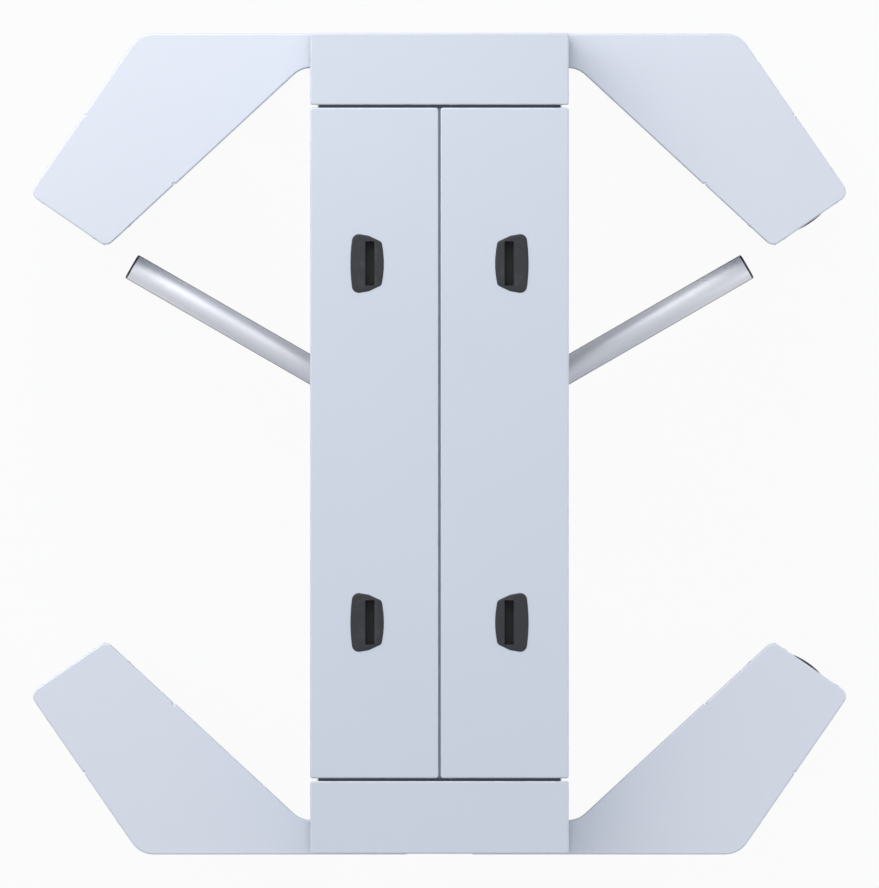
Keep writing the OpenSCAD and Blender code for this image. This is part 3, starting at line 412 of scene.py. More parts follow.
class Wiring:
    """Adds nodes to a tree and joins their sockets."""

    def __init__(self, tree):
        self.tree = tree

    def add(self, kind, values=(), **settings):
        """Node with its settings, and with a value or another node's output on each socket."""
        node = self.tree.nodes.new("ShaderNode" + kind)
        for key, value in settings.items():
            setattr(node, key, value)
        for socket, value in dict(values).items():
            if isinstance(value, bpy.types.NodeSocket):
                self.tree.links.new(value, node.inputs[socket])
            else:
                node.inputs[socket].default_value = value
        return node

    def math(self, operation, a, b=0.0, c=0.0, clamp=False):
        node = self.add("Math", {0: a, 1: b, 2: c}, operation=operation, use_clamp=clamp)
        return node.outputs[0]

    def mix(self, factor, a, b, blend="MIX"):
        node = self.add("Mix", {0: factor, 6: a, 7: b}, data_type="RGBA", blend_type=blend)
        return node.outputs[2]

    def noise(self, vector, scale, detail=2.0, rough=0.5):
        values = {"Vector": vector, "Scale": scale, "Detail": detail, "Roughness": rough}
        return self.add("TexNoise", values).outputs[0]

    def stretched_noise(self, vector, scale, detail=2.0, rough=0.5):
        """Noise that is finer by a scale along each direction."""
        place = self.add("Mapping", {"Vector": vector, "Scale": scale}).outputs[0]
        return self.noise(place, 1.0, detail, rough)

    def remap(self, value, low, high, to_low=0.0, to_high=1.0):
        values = {0: value, 1: low, 2: high, 3: to_low, 4: to_high}
        return self.add("MapRange", values).outputs[0]

    def sway(self, noise, amount, middle=1.0):
        """Middle value that noise moves up and down by half the amount."""
        return self.math("MULTIPLY_ADD", self.math("SUBTRACT", noise, 0.5), amount, middle)

    def tint(self, colour, tone):
        """Colour times a tone."""
        shade = self.add("CombineColor", {0: tone, 1: tone, 2: tone}).outputs[0]
        return self.mix(1.0, colour, shade, "MULTIPLY")

    def place(self):
        return self.add("TexCoord").outputs["Object"]


def make_group(name, inputs, outputs, build):
    """Shader node group with named inputs and outputs, whose inside is wired by build."""
    group = bpy.data.node_groups.new(name, "ShaderNodeTree")
    for label, value in inputs.items():
        kind = "Float" if isinstance(value, float) else "Color"
        socket = group.interface.new_socket(name=label, in_out="INPUT",
                                            socket_type="NodeSocket" + kind)
        socket.default_value = value
    for label in outputs:
        kind = "Color" if label == "Colour" else "Float"
        group.interface.new_socket(name=label, in_out="OUTPUT", socket_type="NodeSocket" + kind)
    start, end = group.nodes.new("NodeGroupInput"), group.nodes.new("NodeGroupOutput")
    for label, value in build(Wiring(group), start.outputs).items():
        group.links.new(value, end.inputs[label])
    return group


def coat_inside(w, given):
    """Sprayed coat: slow changes of tone, fine flake and the dimpled skin of a powder coat."""
    place = w.place()
    slow = w.noise(place, 2.3, 3.0)
    tone = w.sway(w.noise(place, 2600.0, 0.0), given["Flake"], w.sway(slow, given["Clouding"]))
    return {"Colour": w.tint(given["Colour"], tone),
            "Roughness": w.sway(slow, 0.10, given["Roughness"]),
            "Height": w.noise(place, 620.0, 1.0)}


def wear_inside(w, given):
    """Rubbed edges: the wear value of the surface, broken up by noise."""
    # On the paints the rub colour is dark, so there it is partly painted shade along the folds
    value = w.add("Attribute", attribute_name="wear").outputs["Fac"]
    patches = w.remap(w.noise(w.place(), 45.0, 4.0, 0.7), 0.46, 0.70)
    mask = w.math("MULTIPLY", w.math("MULTIPLY", value, patches), given["Amount"], clamp=True)
    return {"Colour": w.mix(mask, given["Colour"], given["Rub and shade colour"]), "Mask": mask}


def dust_inside(w, given):
    """Street dust and splashes that thin out with the height above the floor."""
    place = w.place()
    height = w.add("SeparateXYZ", {0: place}).outputs[2]
    reach = w.math("MULTIPLY_ADD", w.noise(place, 9.0, 3.0), 0.25, height)
    low = w.remap(reach, 0.10, 0.34, 1.0, 0.0)
    specks = w.remap(w.noise(place, 90.0, 4.0, 0.7), 0.40, 0.70, 0.55, 1.0)
    mask = w.math("MULTIPLY", w.math("MULTIPLY", low, specks), given["Amount"], clamp=True)
    return {"Colour": w.mix(mask, given["Colour"], (0.30, 0.28, 0.25, 1.0)), "Mask": mask}


def polish_inside(w, given):
    """Belt-polished metal: fine lines across the map's second direction, and slow changes."""
    place = w.add("UVMap", uv_map="surface").outputs[0]
    lines = w.stretched_noise(place, (22.0, 2400.0, 1.0), 3.0, 0.6)
    broad = w.stretched_noise(place, (3.0, 14.0, 1.0))
    return {"Colour": w.tint(given["Colour"], w.sway(lines, given["Lines"])),
            "Roughness": w.sway(lines, 0.10, w.sway(broad, 0.12, given["Roughness"])),
            "Height": lines}


def rolled_inside(w, given):
    """Rolled, cast or plated metal: grain in one direction with blotches, in object space."""
    place = w.place()
    grain = w.stretched_noise(place, (420.0, 420.0, 30.0))
    blotch = w.noise(place, 28.0, 4.0, 0.65)
    tone = w.sway(grain, given["Grain"], w.sway(blotch, given["Blotches"]))
    return {"Colour": w.tint(given["Colour"], tone),
            "Roughness": w.sway(blotch, 0.25, given["Roughness"]),
            "Height": grain}


def make_groups():
    """Every shared effect, by name."""
    base, colour = {"Colour": GREY, "Roughness": 0.4}, {"Colour": GREY}
    surface, masked = ("Colour", "Roughness", "Height"), ("Colour", "Mask")
    return {
        "coat": make_group("powder_coat", {**base, "Clouding": 0.05, "Flake": 0.05}, surface,
                           coat_inside),
        "wear": make_group("rubbed_and_shaded_edges", {**colour, "Rub and shade colour": GREY, "Amount": 0.5}, masked,
                           wear_inside),
        "dust": make_group("street_dust", {**colour, "Amount": 0.5}, masked, dust_inside),
        "polish": make_group("belt_polish", {**base, "Lines": 0.1}, surface, polish_inside),
        "rolled": make_group("rolled_grain", {**base, "Grain": 0.1, "Blotches": 0.1}, surface,
                             rolled_inside),
    }


def finish_material(name, groups, kind, colour, rough, metallic, effect, bump, rub_and_shade_colour, wear=0.0,
                    dust=0.0, coat=0.0, coat_rough=0.1, glow=None, edge=0.0):
    """Principled material: a surface group, then rubbed edges, then street dust.

    bump is a strength and a distance, glow a colour and a strength. edge darkens a polished
    tube where it turns away from the eye.
    """
    material = bpy.data.materials.new(name)
    material.use_nodes = True
    tree = material.node_tree
    tree.nodes.clear()
    w = Wiring(tree)
    base = w.add("Group", {"Colour": opaque(colour), "Roughness": rough, **effect},
                 node_tree=groups[kind])
    shade, roughness = base.outputs["Colour"], base.outputs["Roughness"]
    if wear:
        rub = w.add("Group", {"Colour": shade, "Rub and shade colour": opaque(rub_and_shade_colour), "Amount": wear},
                    node_tree=groups["wear"])
        shade = rub.outputs["Colour"]
    if dust:
        dirt = w.add("Group", {"Colour": shade, "Amount": dust}, node_tree=groups["dust"])
        shade = dirt.outputs["Colour"]
        roughness = w.math("MULTIPLY_ADD", dirt.outputs["Mask"], 0.35, roughness)
    if edge:
        # Painted shade: the colour turns near-black towards the outline, facing away from the eye
        facing = w.add("LayerWeight", {"Blend": 0.5}).outputs["Facing"]
        shade = w.mix(w.remap(facing, 0.62, 0.80, 0.0, edge), shade, (0.10, 0.11, 0.12, 1.0))
    relief = w.add("Bump", {"Height": base.outputs["Height"], "Strength": bump[0],
                            "Distance": bump[1]})
    shader = w.add("BsdfPrincipled", {
        "Base Color": shade, "Roughness": roughness, "Metallic": metallic,
        "Normal": relief.outputs[0], "Coat Weight": coat, "Coat Roughness": coat_rough})
    if glow:
        shader.inputs["Emission Color"].default_value = opaque(glow[0])
        shader.inputs["Emission Strength"].default_value = glow[1]
    tree.links.new(shader.outputs[0], w.add("OutputMaterial").inputs[0])
    return material


def paint(colour, rough, rub_and_shade_colour=(0.40, 0.43, 0.48), flake=0.04, bump=0.10, wear=0.5, coat=0.10,
          **more):
    """Values of a powder coat."""
    return dict(kind="coat", colour=colour, rough=rough, metallic=0.30, rub_and_shade_colour=rub_and_shade_colour, coat=coat,
                effect={"Clouding": 0.035, "Flake": flake}, bump=(bump, 0.0003), wear=wear,
                **more)


def metal(colour, rough, grain=0.10, blotches=0.10, bump=(0.08, 0.0004), metallic=1.0, **more):
    """Values of rolled, cast or plated metal."""
    return dict(kind="rolled", colour=colour, rough=rough, metallic=metallic, bump=bump,
                effect={"Grain": grain, "Blotches": blotches}, rub_and_shade_colour=(0.75, 0.76, 0.78), **more)


def plastic(colour, rough, bump=(0.15, 0.0003), wear=0.25, rub_and_shade_colour=(0.10, 0.10, 0.11), **more):
    """Values of moulded plastic, rubber or enamel."""
    return dict(kind="coat", colour=colour, rough=rough, metallic=0.0, bump=bump, rub_and_shade_colour=rub_and_shade_colour,
                effect={"Clouding": 0.12, "Flake": 0.25}, wear=wear, **more)


def make_materials(colours):
    """Every finish of the turnstile, by its slot's name or its own."""
    dark = tuple(colours.plastic)
    smooth = (0.05, 0.0002)
    finishes = {
        "painted_steel": paint(colours.coat, 0.42, coat_rough=0.28),
        # A lighter, greyer copy of the coat: painted light that brightens the wall covers
        "lit_cover_paint": paint(colours.covers, 0.46, coat_rough=0.3),
        "wall_paint": paint(colours.coat, 0.44, (0.55, 0.57, 0.60), 0.06, 0.12, wear=0.4,
                            dust=0.55, coat=0.2, coat_rough=0.3),
        # The satin steel's edge value paints shade along the outlines of the tubes
        "satin_steel": dict(kind="polish", colour=colours.steel, rough=0.56, metallic=1.0,
                            effect={"Lines": 0.16}, bump=(0.10, 0.0002),
                            rub_and_shade_colour=(0.42, 0.41, 0.40), wear=0.9, dust=0.25, edge=0.9),
        "frame_steel": metal((0.50, 0.52, 0.55), 0.42, 0.08, 0.12, dust=0.6),
        "zinc_sheet": metal((0.56, 0.58, 0.61), 0.38, 0.12, 0.22),
        # A darker, bluer copy of the zinc sheet: painted shade on the gutter seen through the lids'
        # gap
        "shaded_gutter_sheet": metal((0.43, 0.47, 0.54), 0.45, 0.10, 0.20),
        # Near-black foam of the gap seals, also painted shade in the gaps between lids and caps
        "gap_shade_foam": plastic((0.034, 0.037, 0.050), 0.85, wear=0.0),
        "zinc_fastener": metal((0.62, 0.62, 0.60), 0.32, 0.10, 0.20),
        "cast_housing": metal((0.13, 0.14, 0.15), 0.55, 0.12, 0.25, (0.5, 0.0006), 0.4,
                              dust=0.5, wear=0.4),
        "bright_steel": metal((0.68, 0.68, 0.68), 0.22, 0.12, 0.10),
        "motor_enamel": plastic((0.045, 0.05, 0.06), 0.38, wear=0.4, rub_and_shade_colour=(0.30, 0.31, 0.33)),
        "pulley_aluminium": metal((0.72, 0.73, 0.75), 0.28, 0.12, 0.08),
        "belt_rubber": plastic((0.022, 0.022, 0.024), 0.72, wear=0.3),
        "solenoid_case": plastic((0.03, 0.03, 0.035), 0.5),
        "board_green": plastic((0.012, 0.11, 0.055), 0.32, smooth, wear=0.0, coat=0.4),
        "terminal_grey": plastic((0.42, 0.44, 0.44), 0.5, rub_and_shade_colour=(0.55, 0.56, 0.56)),
        "grip_plastic": plastic(dark, 0.52, (0.30, 0.0003), wear=0.5),
        "plug_plastic": plastic([0.8 * c for c in dark], 0.5, (0.25, 0.0003), wear=0.35),
        "lamp_lens": plastic(colours.lens, 0.12, (0.03, 0.0002), wear=0.0, coat=0.8),
        "reader_plastic": plastic(dark, 0.20, smooth, wear=0.2, coat=0.6),
        "lock_chrome": metal((0.74, 0.75, 0.77), 0.12, 0.04, 0.05),
        "slot_black": plastic((0.012, 0.013, 0.014), 0.6),
        "green_light": plastic((0.02, 0.30, 0.10), 0.3, glow=((0.05, 0.9, 0.3), 0.6)),
        "dim_red_light": plastic((0.16, 0.016, 0.014), 0.25, wear=0.0, coat=0.6),
        "hardened_steel": metal((0.42, 0.41, 0.40), 0.34, 0.14, 0.25),
        "relay_blue": plastic((0.02, 0.09, 0.26), 0.35),
        "connector_green": plastic((0.03, 0.26, 0.09), 0.42),
        "terminal_blue": plastic((0.03, 0.12, 0.36), 0.48),
        "earth_green": plastic((0.10, 0.34, 0.06), 0.48),
    }
    groups = make_groups()
    return {name: finish_material(name, groups, **values) for name, values in finishes.items()}


MATERIALS = {}


# Pieces

def cover_corners():
    """Corners and radii of a wall cover's plan, with the two seam notches."""
    wide, deep, proud = 0.0015, 0.0026, 0.0012
    inner = [SEAM_IN - proud * INTO_WALL - wide * ALONG_IN,
             SEAM_IN + deep * INTO_WALL - wide * ALONG_IN,
             SEAM_IN + deep * INTO_WALL + wide * ALONG_IN, SEAM_IN + wide * ALONG_IN]
    outer = [SEAM_OUT - wide * ALONG_OUT, SEAM_OUT - wide * ALONG_OUT - deep * OUT_OF_WALL,
             SEAM_OUT + wide * ALONG_OUT - deep * OUT_OF_WALL, SEAM_OUT + wide * ALONG_OUT]
    corners = [[GAP_X, INNER_Y - proud], knee_at(-proud), *inner, TIP_IN, TIP_OUT, *outer,
               CORNER, [GAP_X, HALF_L]]
    at_beam, notch = 0.002, [0.0004] * 4
    radii = [at_beam, KNEE_ROUND, *notch, TIP_ROUND, TIP_ROUND, *notch, KNEE_ROUND, at_beam]
    return np.array(corners), np.array(radii)


def make_covers(looks):
    """Roofs of the guide walls."""
    corners, radii = cover_corners()
    for end, side, right, back in QUADRANTS:
        sheet = folded_sheet(Mirrored(right, back), corners, radii, WALL_TOP, COVER_LOW, looks.bend)
        # Their paint is lighter than that of the lids: painted light
        sheet.piece(f"cover_{end}_{side}", "frame", "painted_steel", [f"wall_cover_{end}_{side}"],
                    "lit_cover_paint")


def make_pillars(looks):
    """End pillars: a folded skin with a shadow line above the foot and one below the cover."""
    back_from_edge, depth = 0.024, 0.0016
    start = TIP_IN + OUT_OF_WALL * back_from_edge / (OUT_OF_WALL @ INTO_WALL)
    corners = np.array([seam_at(back_from_edge), start, TIP_OUT, SEAM_OUT])
    rows = [(0.003, 0), (0.0, 0.002), (0.0, 0.1185), (depth, 0.119), (depth, 0.121),
            (0.0, 0.1215), (0.0, COVER_LOW - 0.010), (0.0, COVER_LOW - 0.003), (0.001, COVER_LOW)]
    rings = stack_rings(corners, [0.005, TIP_ROUND, TIP_ROUND, 0.005], rows, 8)
    for end, side, right, back in QUADRANTS:
        skin = Mirrored(right, back)
        skin.grid(rings, ends=(True, True), wear=[1, 0.6, 0.2, 0, 0, 0.6, 0, 0, 0])
        skin.piece(f"pillar_{end}_{side}", "frame", "painted_steel", [f"end_pillar_{end}_{side}"],
                   "wall_paint")


def bar_places(count=5):
    """Middles of the guide bars, evenly spaced along their line behind the inner edge."""
    behind = 0.042
    start = np.array([0.110, INNER_Y + behind])
    knee, end = knee_at(behind), seam_at(behind)
    first = knee[0] - start[0]
    pitch = (first + np.linalg.norm(end - knee)) / count
    s = (np.arange(count) + 0.5) * pitch
    straight = start + np.minimum(s, first)[:, None] * [1, 0]
    slant = knee + np.maximum(s - first, 0)[:, None] * unit(end - knee)
    return lift(np.where((s < first)[:, None], straight, slant), 0.0)


def make_guides(looks):
    """Guide bars with weld beads on their sills."""
    radius, places = 0.01685, bar_places()
    levels = (SILL_TOP, 0.7, 1.4, WALL_TOP - 0.002)
    tube = turned_section([(radius, z) for z in levels], 36)
    bead = weld_bead(radius, SILL_TOP, looks.weld, 66, 22)
    for end in ("front", "back"):
        bars = Surface()
        for right in (False, True):
            at = mirror(places, right, end == "back")
            bars.copies(tube, at, ends=(False, True), wear=[0.3, 0, 0, 0])
            bars.copies(bead, at, wear=0.8)
        bars.piece(f"guide_bars_{end}_tubes", "frame", "satin_steel", [f"guide_bars_{end}"])
    foot, inner, outer = 0.110, 0.024, 0.060
    plan = [[foot, INNER_Y + inner], knee_at(inner), seam_at(inner), seam_at(outer),
            knee_at(outer), [foot, INNER_Y + outer]]
    sills = Surface()
    for *_, right, back in QUADRANTS:
        sills.take(plate(Mirrored(right, back), plan, [0.001, 0.02, 0.001, 0.001, 0.02, 0.001],
                         0.0, SILL_TOP, 0.0015))
    sills.piece("floor_sills_steel", "frame", "painted_steel", ["floor_sills"], "wall_paint")


def make_posts(looks):
    """Corner posts and centre posts: square tubes welded to their foot plates."""
    depth, corner_radius, head_low = 0.060, 0.008, 2.102
    weld = [(-0.004, 0), (-0.0035, 0.0012), (-0.0018, 0.003), (-0.0002, 0.0045)]
    bolt_holes = [circle(ANCHOR_HOLE, CORNER_POST + way * 0.042, 24) for way in SQUARE]
    posts = Surface()
    for *_, right, back in QUADRANTS:
        one = Mirrored(right, back)
        plate(one, rect(0.110, 0.110, CORNER_POST), 0.004, 0.0, PLATE_TOP, holes=bolt_holes)
        tube = rect(depth, depth, CORNER_POST)
        one.grid(stack_rings(tube, corner_radius, [(0, PLATE_TOP), (0, WALL_TOP - 0.002)]),
                 ends=(False, True))
        bead = stack_rings(tube, corner_radius, [(d, PLATE_TOP + z) for d, z in weld])
        posts.take(one.grid(bead, wear=0.8))
    posts.piece("corner_posts_steel", "frame", "painted_steel", ["corner_posts"], "wall_paint")
    middle = (0.0, POST_Y)
    bolt_holes = [circle(ANCHOR_HOLE, (x, POST_Y), 24) for x in (-0.085, 0.085)]
    for end in ("front", "back"):
        one = Mirrored(True, end == "back")
        plate(one, rect(0.220, depth, middle), 0.003, 0.0, PLATE_TOP, holes=bolt_holes)
        tube = rect(0.120, depth, middle)
        levels = (PLATE_TOP, 0.7, 1.4, head_low)
        one.grid(stack_rings(tube, corner_radius, [(0, z) for z in levels]))
        plate(one, tube, 0.002, head_low, WALL_TOP, 0.0008)
        one.piece(f"centre_post_{end}_steel", "frame", "painted_steel", [f"centre_post_{end}"],
                  "wall_paint")


TUBE_WEAR = [0.2, 0, 0, 0.1, 0.6, 0.3]
PLUG_WEAR = [0.2, 0.8, 1, 0.5, 0.2, 0.4, 0, 0]


def tube_section(start, middles, end):
    """Tube along Z with a rounded rim at its free end."""
    rows = [(TUBE_R, start)] + [(TUBE_R, z) for z in middles]
    rows += [(TUBE_R, end - 0.0006), (TUBE_R - 0.0004, end), (TUBE_R - 0.0026, end)]
    return turned_section(rows, 48)


def plug_section(end, flange):
    """Domed tube plug along Z, from its flange to its middle, with a dimple."""
    rows = [(TUBE_R - 0.0003, flange), (TUBE_R - 0.0001, 0.0022), (TUBE_R - 0.0007, 0.0010),
            (TUBE_R - 0.0030, 0.0003), (TUBE_R - 0.0075, 0), (0.0085, 0.0002), (0.0070, 0.0009),
            (0.0012, 0.0009)]
    return turned_section([(r, end - z) for r, z in rows], 48)


def make_arms(looks):
    """Three wings of arms with weld beads at the wing posts, and their plugs."""
    tube = lay_along_x(tube_section(ARM_IN, (0.28, 0.48), ARM_OUT))
    bead = lay_along_x(weld_bead(TUBE_R, ARM_IN, looks.weld))
    plug = lay_along_x(plug_section(SWEEP, 0.004))
    heights, plugs = at_levels(ARM_LEVELS), Surface()
    for letter, angle in zip("abc", WINGS):
        wing = Surface().grid(about_z(tube, angle) + heights, wear=TUBE_WEAR)
        wing.grid(about_z(bead, angle) + heights, wear=0.9)
        wing.piece(f"wing_{letter}_tubes", "rotor", "satin_steel", [f"rotor_arms_{letter}"])
        plugs.grid(about_z(plug, angle) + heights, ends=(False, True), wear=PLUG_WEAR)
    plugs.piece("wing_plugs", "rotor", "plug_plastic", ["arm_plugs"])


def make_rotor(looks):
    """Column and wing posts with their weld beads, and the hubs."""
    levels = np.linspace(ROTOR_LOW, ROTOR_TOP, 6)
    column = Surface().grid(turned_section([(COLUMN_R, z) for z in levels], 64))
    for z, way in ((ROTOR_LOW, 1), (ROTOR_TOP, -1)):
        bead = weld_bead(COLUMN_R, 0.0, 0.004, 132, 44) * [1, 1, way]
        column.grid(bead + [0, 0, z], wear=0.9)
    column.piece("column_tube", "rotor", "satin_steel", ["rotor_column"])
    weld = [(-0.003, 0), (-0.0022, 0.0016), (-0.0006, 0.003), (0, 0.0034)]
    plan = rect(0.030, 0.050, (0.065, 0))
    tube = stack_rings(plan, 0.004, [(0, z) for z in levels])
    foot = stack_rings(plan, 0.004, [(d, ROTOR_LOW + z) for d, z in weld])
    posts = Surface()
    for angle in WINGS:
        posts.grid(about_z(tube, angle)).grid(about_z(foot, angle), wear=0.8)
    posts.piece("wing_post_tubes", "rotor", "satin_steel", ["wing_posts"])
    stub = [(0.0, 0.024), (0.0188, 0.024), (0.020, 0.0252), (0.020, 0.0486), (0.027, 0.0486)]
    hubs = {"bottom_hub": (0.060, ROTOR_LOW), "top_hub": (ROTOR_TOP, ROTOR_TOP + 0.012)}
    for node, (low, top) in hubs.items():
        rows = stub + [(0.027, low)] if node == "bottom_hub" else [(0.0, low)]
        rows += [(0.0935, low), (0.0946, low + 0.0005), (0.095, low + 0.0015),
                 (0.095, top - 0.0015), (0.0946, top - 0.0005), (0.0935, top), (0.0, top)]
        hub = Surface().grid(turned_section(rows, 72), wear=0.3)
        hub.piece(f"{node}_plate", "rotor", "satin_steel", [node])


def make_comb(looks):
    """Fixed comb: a strip on the back centre post with tubes welded to it, and their plugs."""
    towards_middle = [1, -1, 1]
    heights = at_levels(COMB_LEVELS)
    tube = tube_section(-COMB_START, (-0.5, -0.3), -COMB_TIP - 0.003)
    bead = weld_bead(TUBE_R, -COMB_START, looks.weld)
    comb = Surface().grid(lay_along_y(tube) * towards_middle + heights, wear=TUBE_WEAR)
    comb.grid(lay_along_y(bead) * towards_middle + heights, wear=0.9)
    comb.piece("comb_tubes_steel", "frame", "satin_steel", ["comb_tubes"])
    plug = lay_along_y(plug_section(-COMB_TIP, 0.003)) * towards_middle
    plugs = Surface().grid(plug + heights, ends=(False, True), wear=PLUG_WEAR)
    plugs.piece("comb_plug_caps", "frame", "plug_plastic", ["comb_plugs"])
    low, top = COMB_LEVELS[0] - 0.060, COMB_LEVELS[-1] + 0.060
    strip = plate(Surface(), rect(0.080, top - low, (0, (low + top) / 2)), 0.006, 0.0, 0.008)
    strip.points = [np.stack([p[:, 0], 0.718 - p[:, 2], p[:, 1]], 1) for p in strip.points]
    strip.piece("comb_strip_steel", "frame", "satin_steel", ["comb_strip"], "frame_steel")


def make_lids(looks):
    """Two folded lids, each with a long outer skirt, short flanges and holes for its grips."""
    inner, wide, corner_radius = 0.002, BEAM_HALF - 0.002, 0.005
    corners = rect(wide, LID_ENDS[1] - LID_ENDS[0], (inner + wide / 2, sum(LID_ENDS) / 2))
    outer_side = outline(corners, corner_radius, 0, 8)[:, 0] > BEAM_HALF - 0.0022
    low = np.where(outer_side, SKIRT_LOW, LID_TOP - 0.014)
    holes = [outline(rect(0.0446, 0.0896, (GRIP_X, y)), 0.008, 0, 4) for y in GRIP_Y]
    for side, right in SIDES:
        sheet = folded_sheet(Mirrored(right), corners, corner_radius, LID_TOP, low, looks.bend,
                             holes)
        sheet.piece(f"lid_{side}_sheet", f"{side}_lid", "painted_steel", [f"lid_{side}"])


def make_caps(looks):
    """End caps of the beam, open towards the lids."""
    corner_radius = 0.005
    for end, start in CAP_START.items():
        corners = rect(2 * BEAM_HALF, CAP_END[end] - start, (0, (start + CAP_END[end]) / 2))
        open_side = outline(corners, corner_radius, 0, 8)[:, 1] < start + 0.0022
        low = np.where(open_side, LID_TOP - 0.004, SKIRT_LOW)
        cap = folded_sheet(Mirrored(True, end == "back"), corners, corner_radius, LID_TOP, low,
                           looks.bend)
        cap.piece(f"end_cap_{end}_sheet", "frame", "painted_steel", [f"end_cap_{end}"])


def make_tray(looks):
    """Beam tray with holes for the shaft and for cables, and the gutter under the lids' gap."""
    half, front, back = 0.232, CAP_END["front"] - 0.002, CAP_END["back"] - 0.002
    bend, thick, edge = 0.004, 0.003, 0.0005
    corners = rect(2 * half, front + back, (0, (back - front) / 2))
    holes = [circle(0.030, count=40)] + [circle(0.018, (0, y), 24) for y in (POST_Y, -POST_Y)]
    outer = [(bend + FLAT_MARGIN, WALL_TOP)] + [(d, WALL_TOP + z) for d, z in fold(bend)]
    outer += [(0, TRAY_TOP - edge), (edge, TRAY_TOP)]
    inner = [(thick - edge, TRAY_TOP), (thick, TRAY_TOP - edge), (thick, TRAY_FLOOR)]
    rings = stack_rings(corners, bend, outer + inner, 5)
    tray = Surface().grid(rings, wear=[0, 0, 0.5, 1, 0.5, 0, 0.4, 1, 1, 0.4, 0])
    close_ends(tray, rings, WALL_TOP, TRAY_FLOOR, holes)
    for right in (False, True):
        tray.take(plate(Mirrored(right), rect(0.0106, 0.0245, (0.2363, 0.02375)), 0.001, 2.209,
                        2.212, 0.0006))
    tray.piece("beam_tray_sheet", "frame", "zinc_sheet", ["beam_tray"])

    half_section = [[0.0205, 2.300], [0.022, 2.3015], [0.022, TRAY_TOP], [0.020, TRAY_TOP],
                    [0.020, 2.3032], [0.0192, 2.302]]
    section = np.array([[-x, z] for x, z in half_section[2::-1]] + half_section
                       + [[-x, z] for x, z in half_section[:2:-1]])
    rows = [np.insert(section, 1, y, axis=1) for y in np.linspace(-0.774, 0.774, 9)]
    gutter = Surface().grid(np.stack(rows), ends=(True, True))
    # Its finish paints the shade of the lids' gap onto the gutter
    gutter.piece("rain_gutter_sheet", "frame", "zinc_sheet", ["rain_gutter"], "shaded_gutter_sheet")
    # Near-black foam strips just under the tops of the cap gaps: seals, and painted shade there
    shade_seals = Surface()
    for y in (LID_ENDS[0] - CAP_GAP / 2, LID_ENDS[1] + CAP_GAP / 2):
        plate(shade_seals, rect(0.458, 0.0044, (0, y)), 0.001, 2.298, 2.3184, 0.0008)
    shade_seals.piece("gap_shade_seals", "frame", "belt_rubber", finish="gap_shade_foam")


def grip_corners():
    """Corners and radii of a grip's bezel about its middle."""
    shares = np.array([[0.54, 0], [0.425, 0.525], [-0.05, 0.478], [-0.425, 0.375], [-0.55, 0],
                       [-0.425, -0.375], [-0.05, -0.478], [0.425, -0.525]])
    return shares * [0.064, 0.110], np.array([340, 13, 27, 8, 190, 8, 27, 13]) / 1000


def make_grips(looks):
    """Flush grips: a bezel with a rounded rim, a finger slot and the pocket below it."""
    corners, radii = grip_corners()
    slot, under = rect(0.0175, 0.084, (-0.005, 0)), -0.0008
    rim = [(0.0, 0.0), (0.0, 0.0004), (0.0005, 0.0010), (0.0015, 0.0015), (0.0028, 0.0019),
           (0.0042, 0.002)]
    lip = [(0.0, 0.002), (-0.0004, 0.0017), (-0.0006, 0.001), (-0.0006, under)]
    inside = [(0.002, under), (0.002, -0.0215), (0.0035, -0.023)]
    outside = [(0.0, 0.0), (0.0, -0.0235), (0.0015, -0.025)]

    def rings_at(plan, plan_radii, rows, steps):
        return stack_rings(plan, plan_radii, [(d, LID_TOP + z) for d, z in rows], steps)

    for side, right in SIDES:
        skin, well = Mirrored(right), Mirrored(right)
        for y in GRIP_Y:
            at = np.array([GRIP_X, y])
            bezel = rings_at(corners + at, radii, rim, 8)
            opening = rings_at(slot + at, 0.0015, lip, 4)
            skin.grid(bezel, wear=[0, 0.4, 0.8, 0.2, 0, 0]).flat([bezel[-1], opening[0]])
            skin.grid(opening, wear=[0.8, 1, 0.3, 0])
            pocket = rect(0.044, 0.089, at)
            hollow = rings_at(pocket, 0.008, inside, 5)
            well.grid(hollow, ends=(False, True)).flat([hollow[0], opening[-1]])
            skin.grid(rings_at(pocket, 0.008, outside, 5), ends=(False, True))
        body = f"{side}_lid"
        skin.piece(f"grip_bezels_{side}", body, "grip_plastic", [f"grips_{side}"])
        well.piece(f"grip_wells_{side}", body, "grip_plastic", finish="slot_black")


def make_lid_locks(looks):
    """Round lid locks in the skirts, each with a key slot and its cam."""
    inside, face, rim = 0.2383, BEAM_HALF + 0.00012, BEAM_HALF + 0.0003
    rows = [(0.0095, inside), (0.0095, face), (0.0091, rim), (0.0073, rim), (0.0069, face),
            (0.0001, face)]
    level = [0, 0, 2.200]
    # The key slot is a thin black slab on the closed face: painted shade for the slot's hollow
    slot = stack_rings(rect(0.0062, 0.0014), 0.0004, [(0, face - 0.0006), (0, face + 0.00006)], 3)
    for side, right in SIDES:
        body, slot_name = f"{side}_lid_lock", "lock_chrome"
        barrel = Mirrored(right)
        barrel.grid(lay_along_x(turned_section(rows)) + level, ends=(True, True),
                    wear=[0, 0.3, 0.8, 0.5, 0, 0])
        cam = plate(Surface(), rect(0.014, 0.036, (0, -0.018)), 0.003, 0.0, 0.003, 0.0005)
        cam.points = [mirror(np.stack([inside + p[:, 2], p[:, 0], p[:, 1]], 1) + level, right)
                      for p in cam.points]
        barrel.take(cam).piece(f"lid_lock_{side}_barrel", body, slot_name, [f"lid_lock_{side}"])
        # Painted shade: a black slab where the key slot's hollow would be dark
        key = Mirrored(right).grid(lay_along_x(slot) + level, ends=(True, True))
        key.piece(f"lid_lock_{side}_keyway", body, slot_name, finish="slot_black")


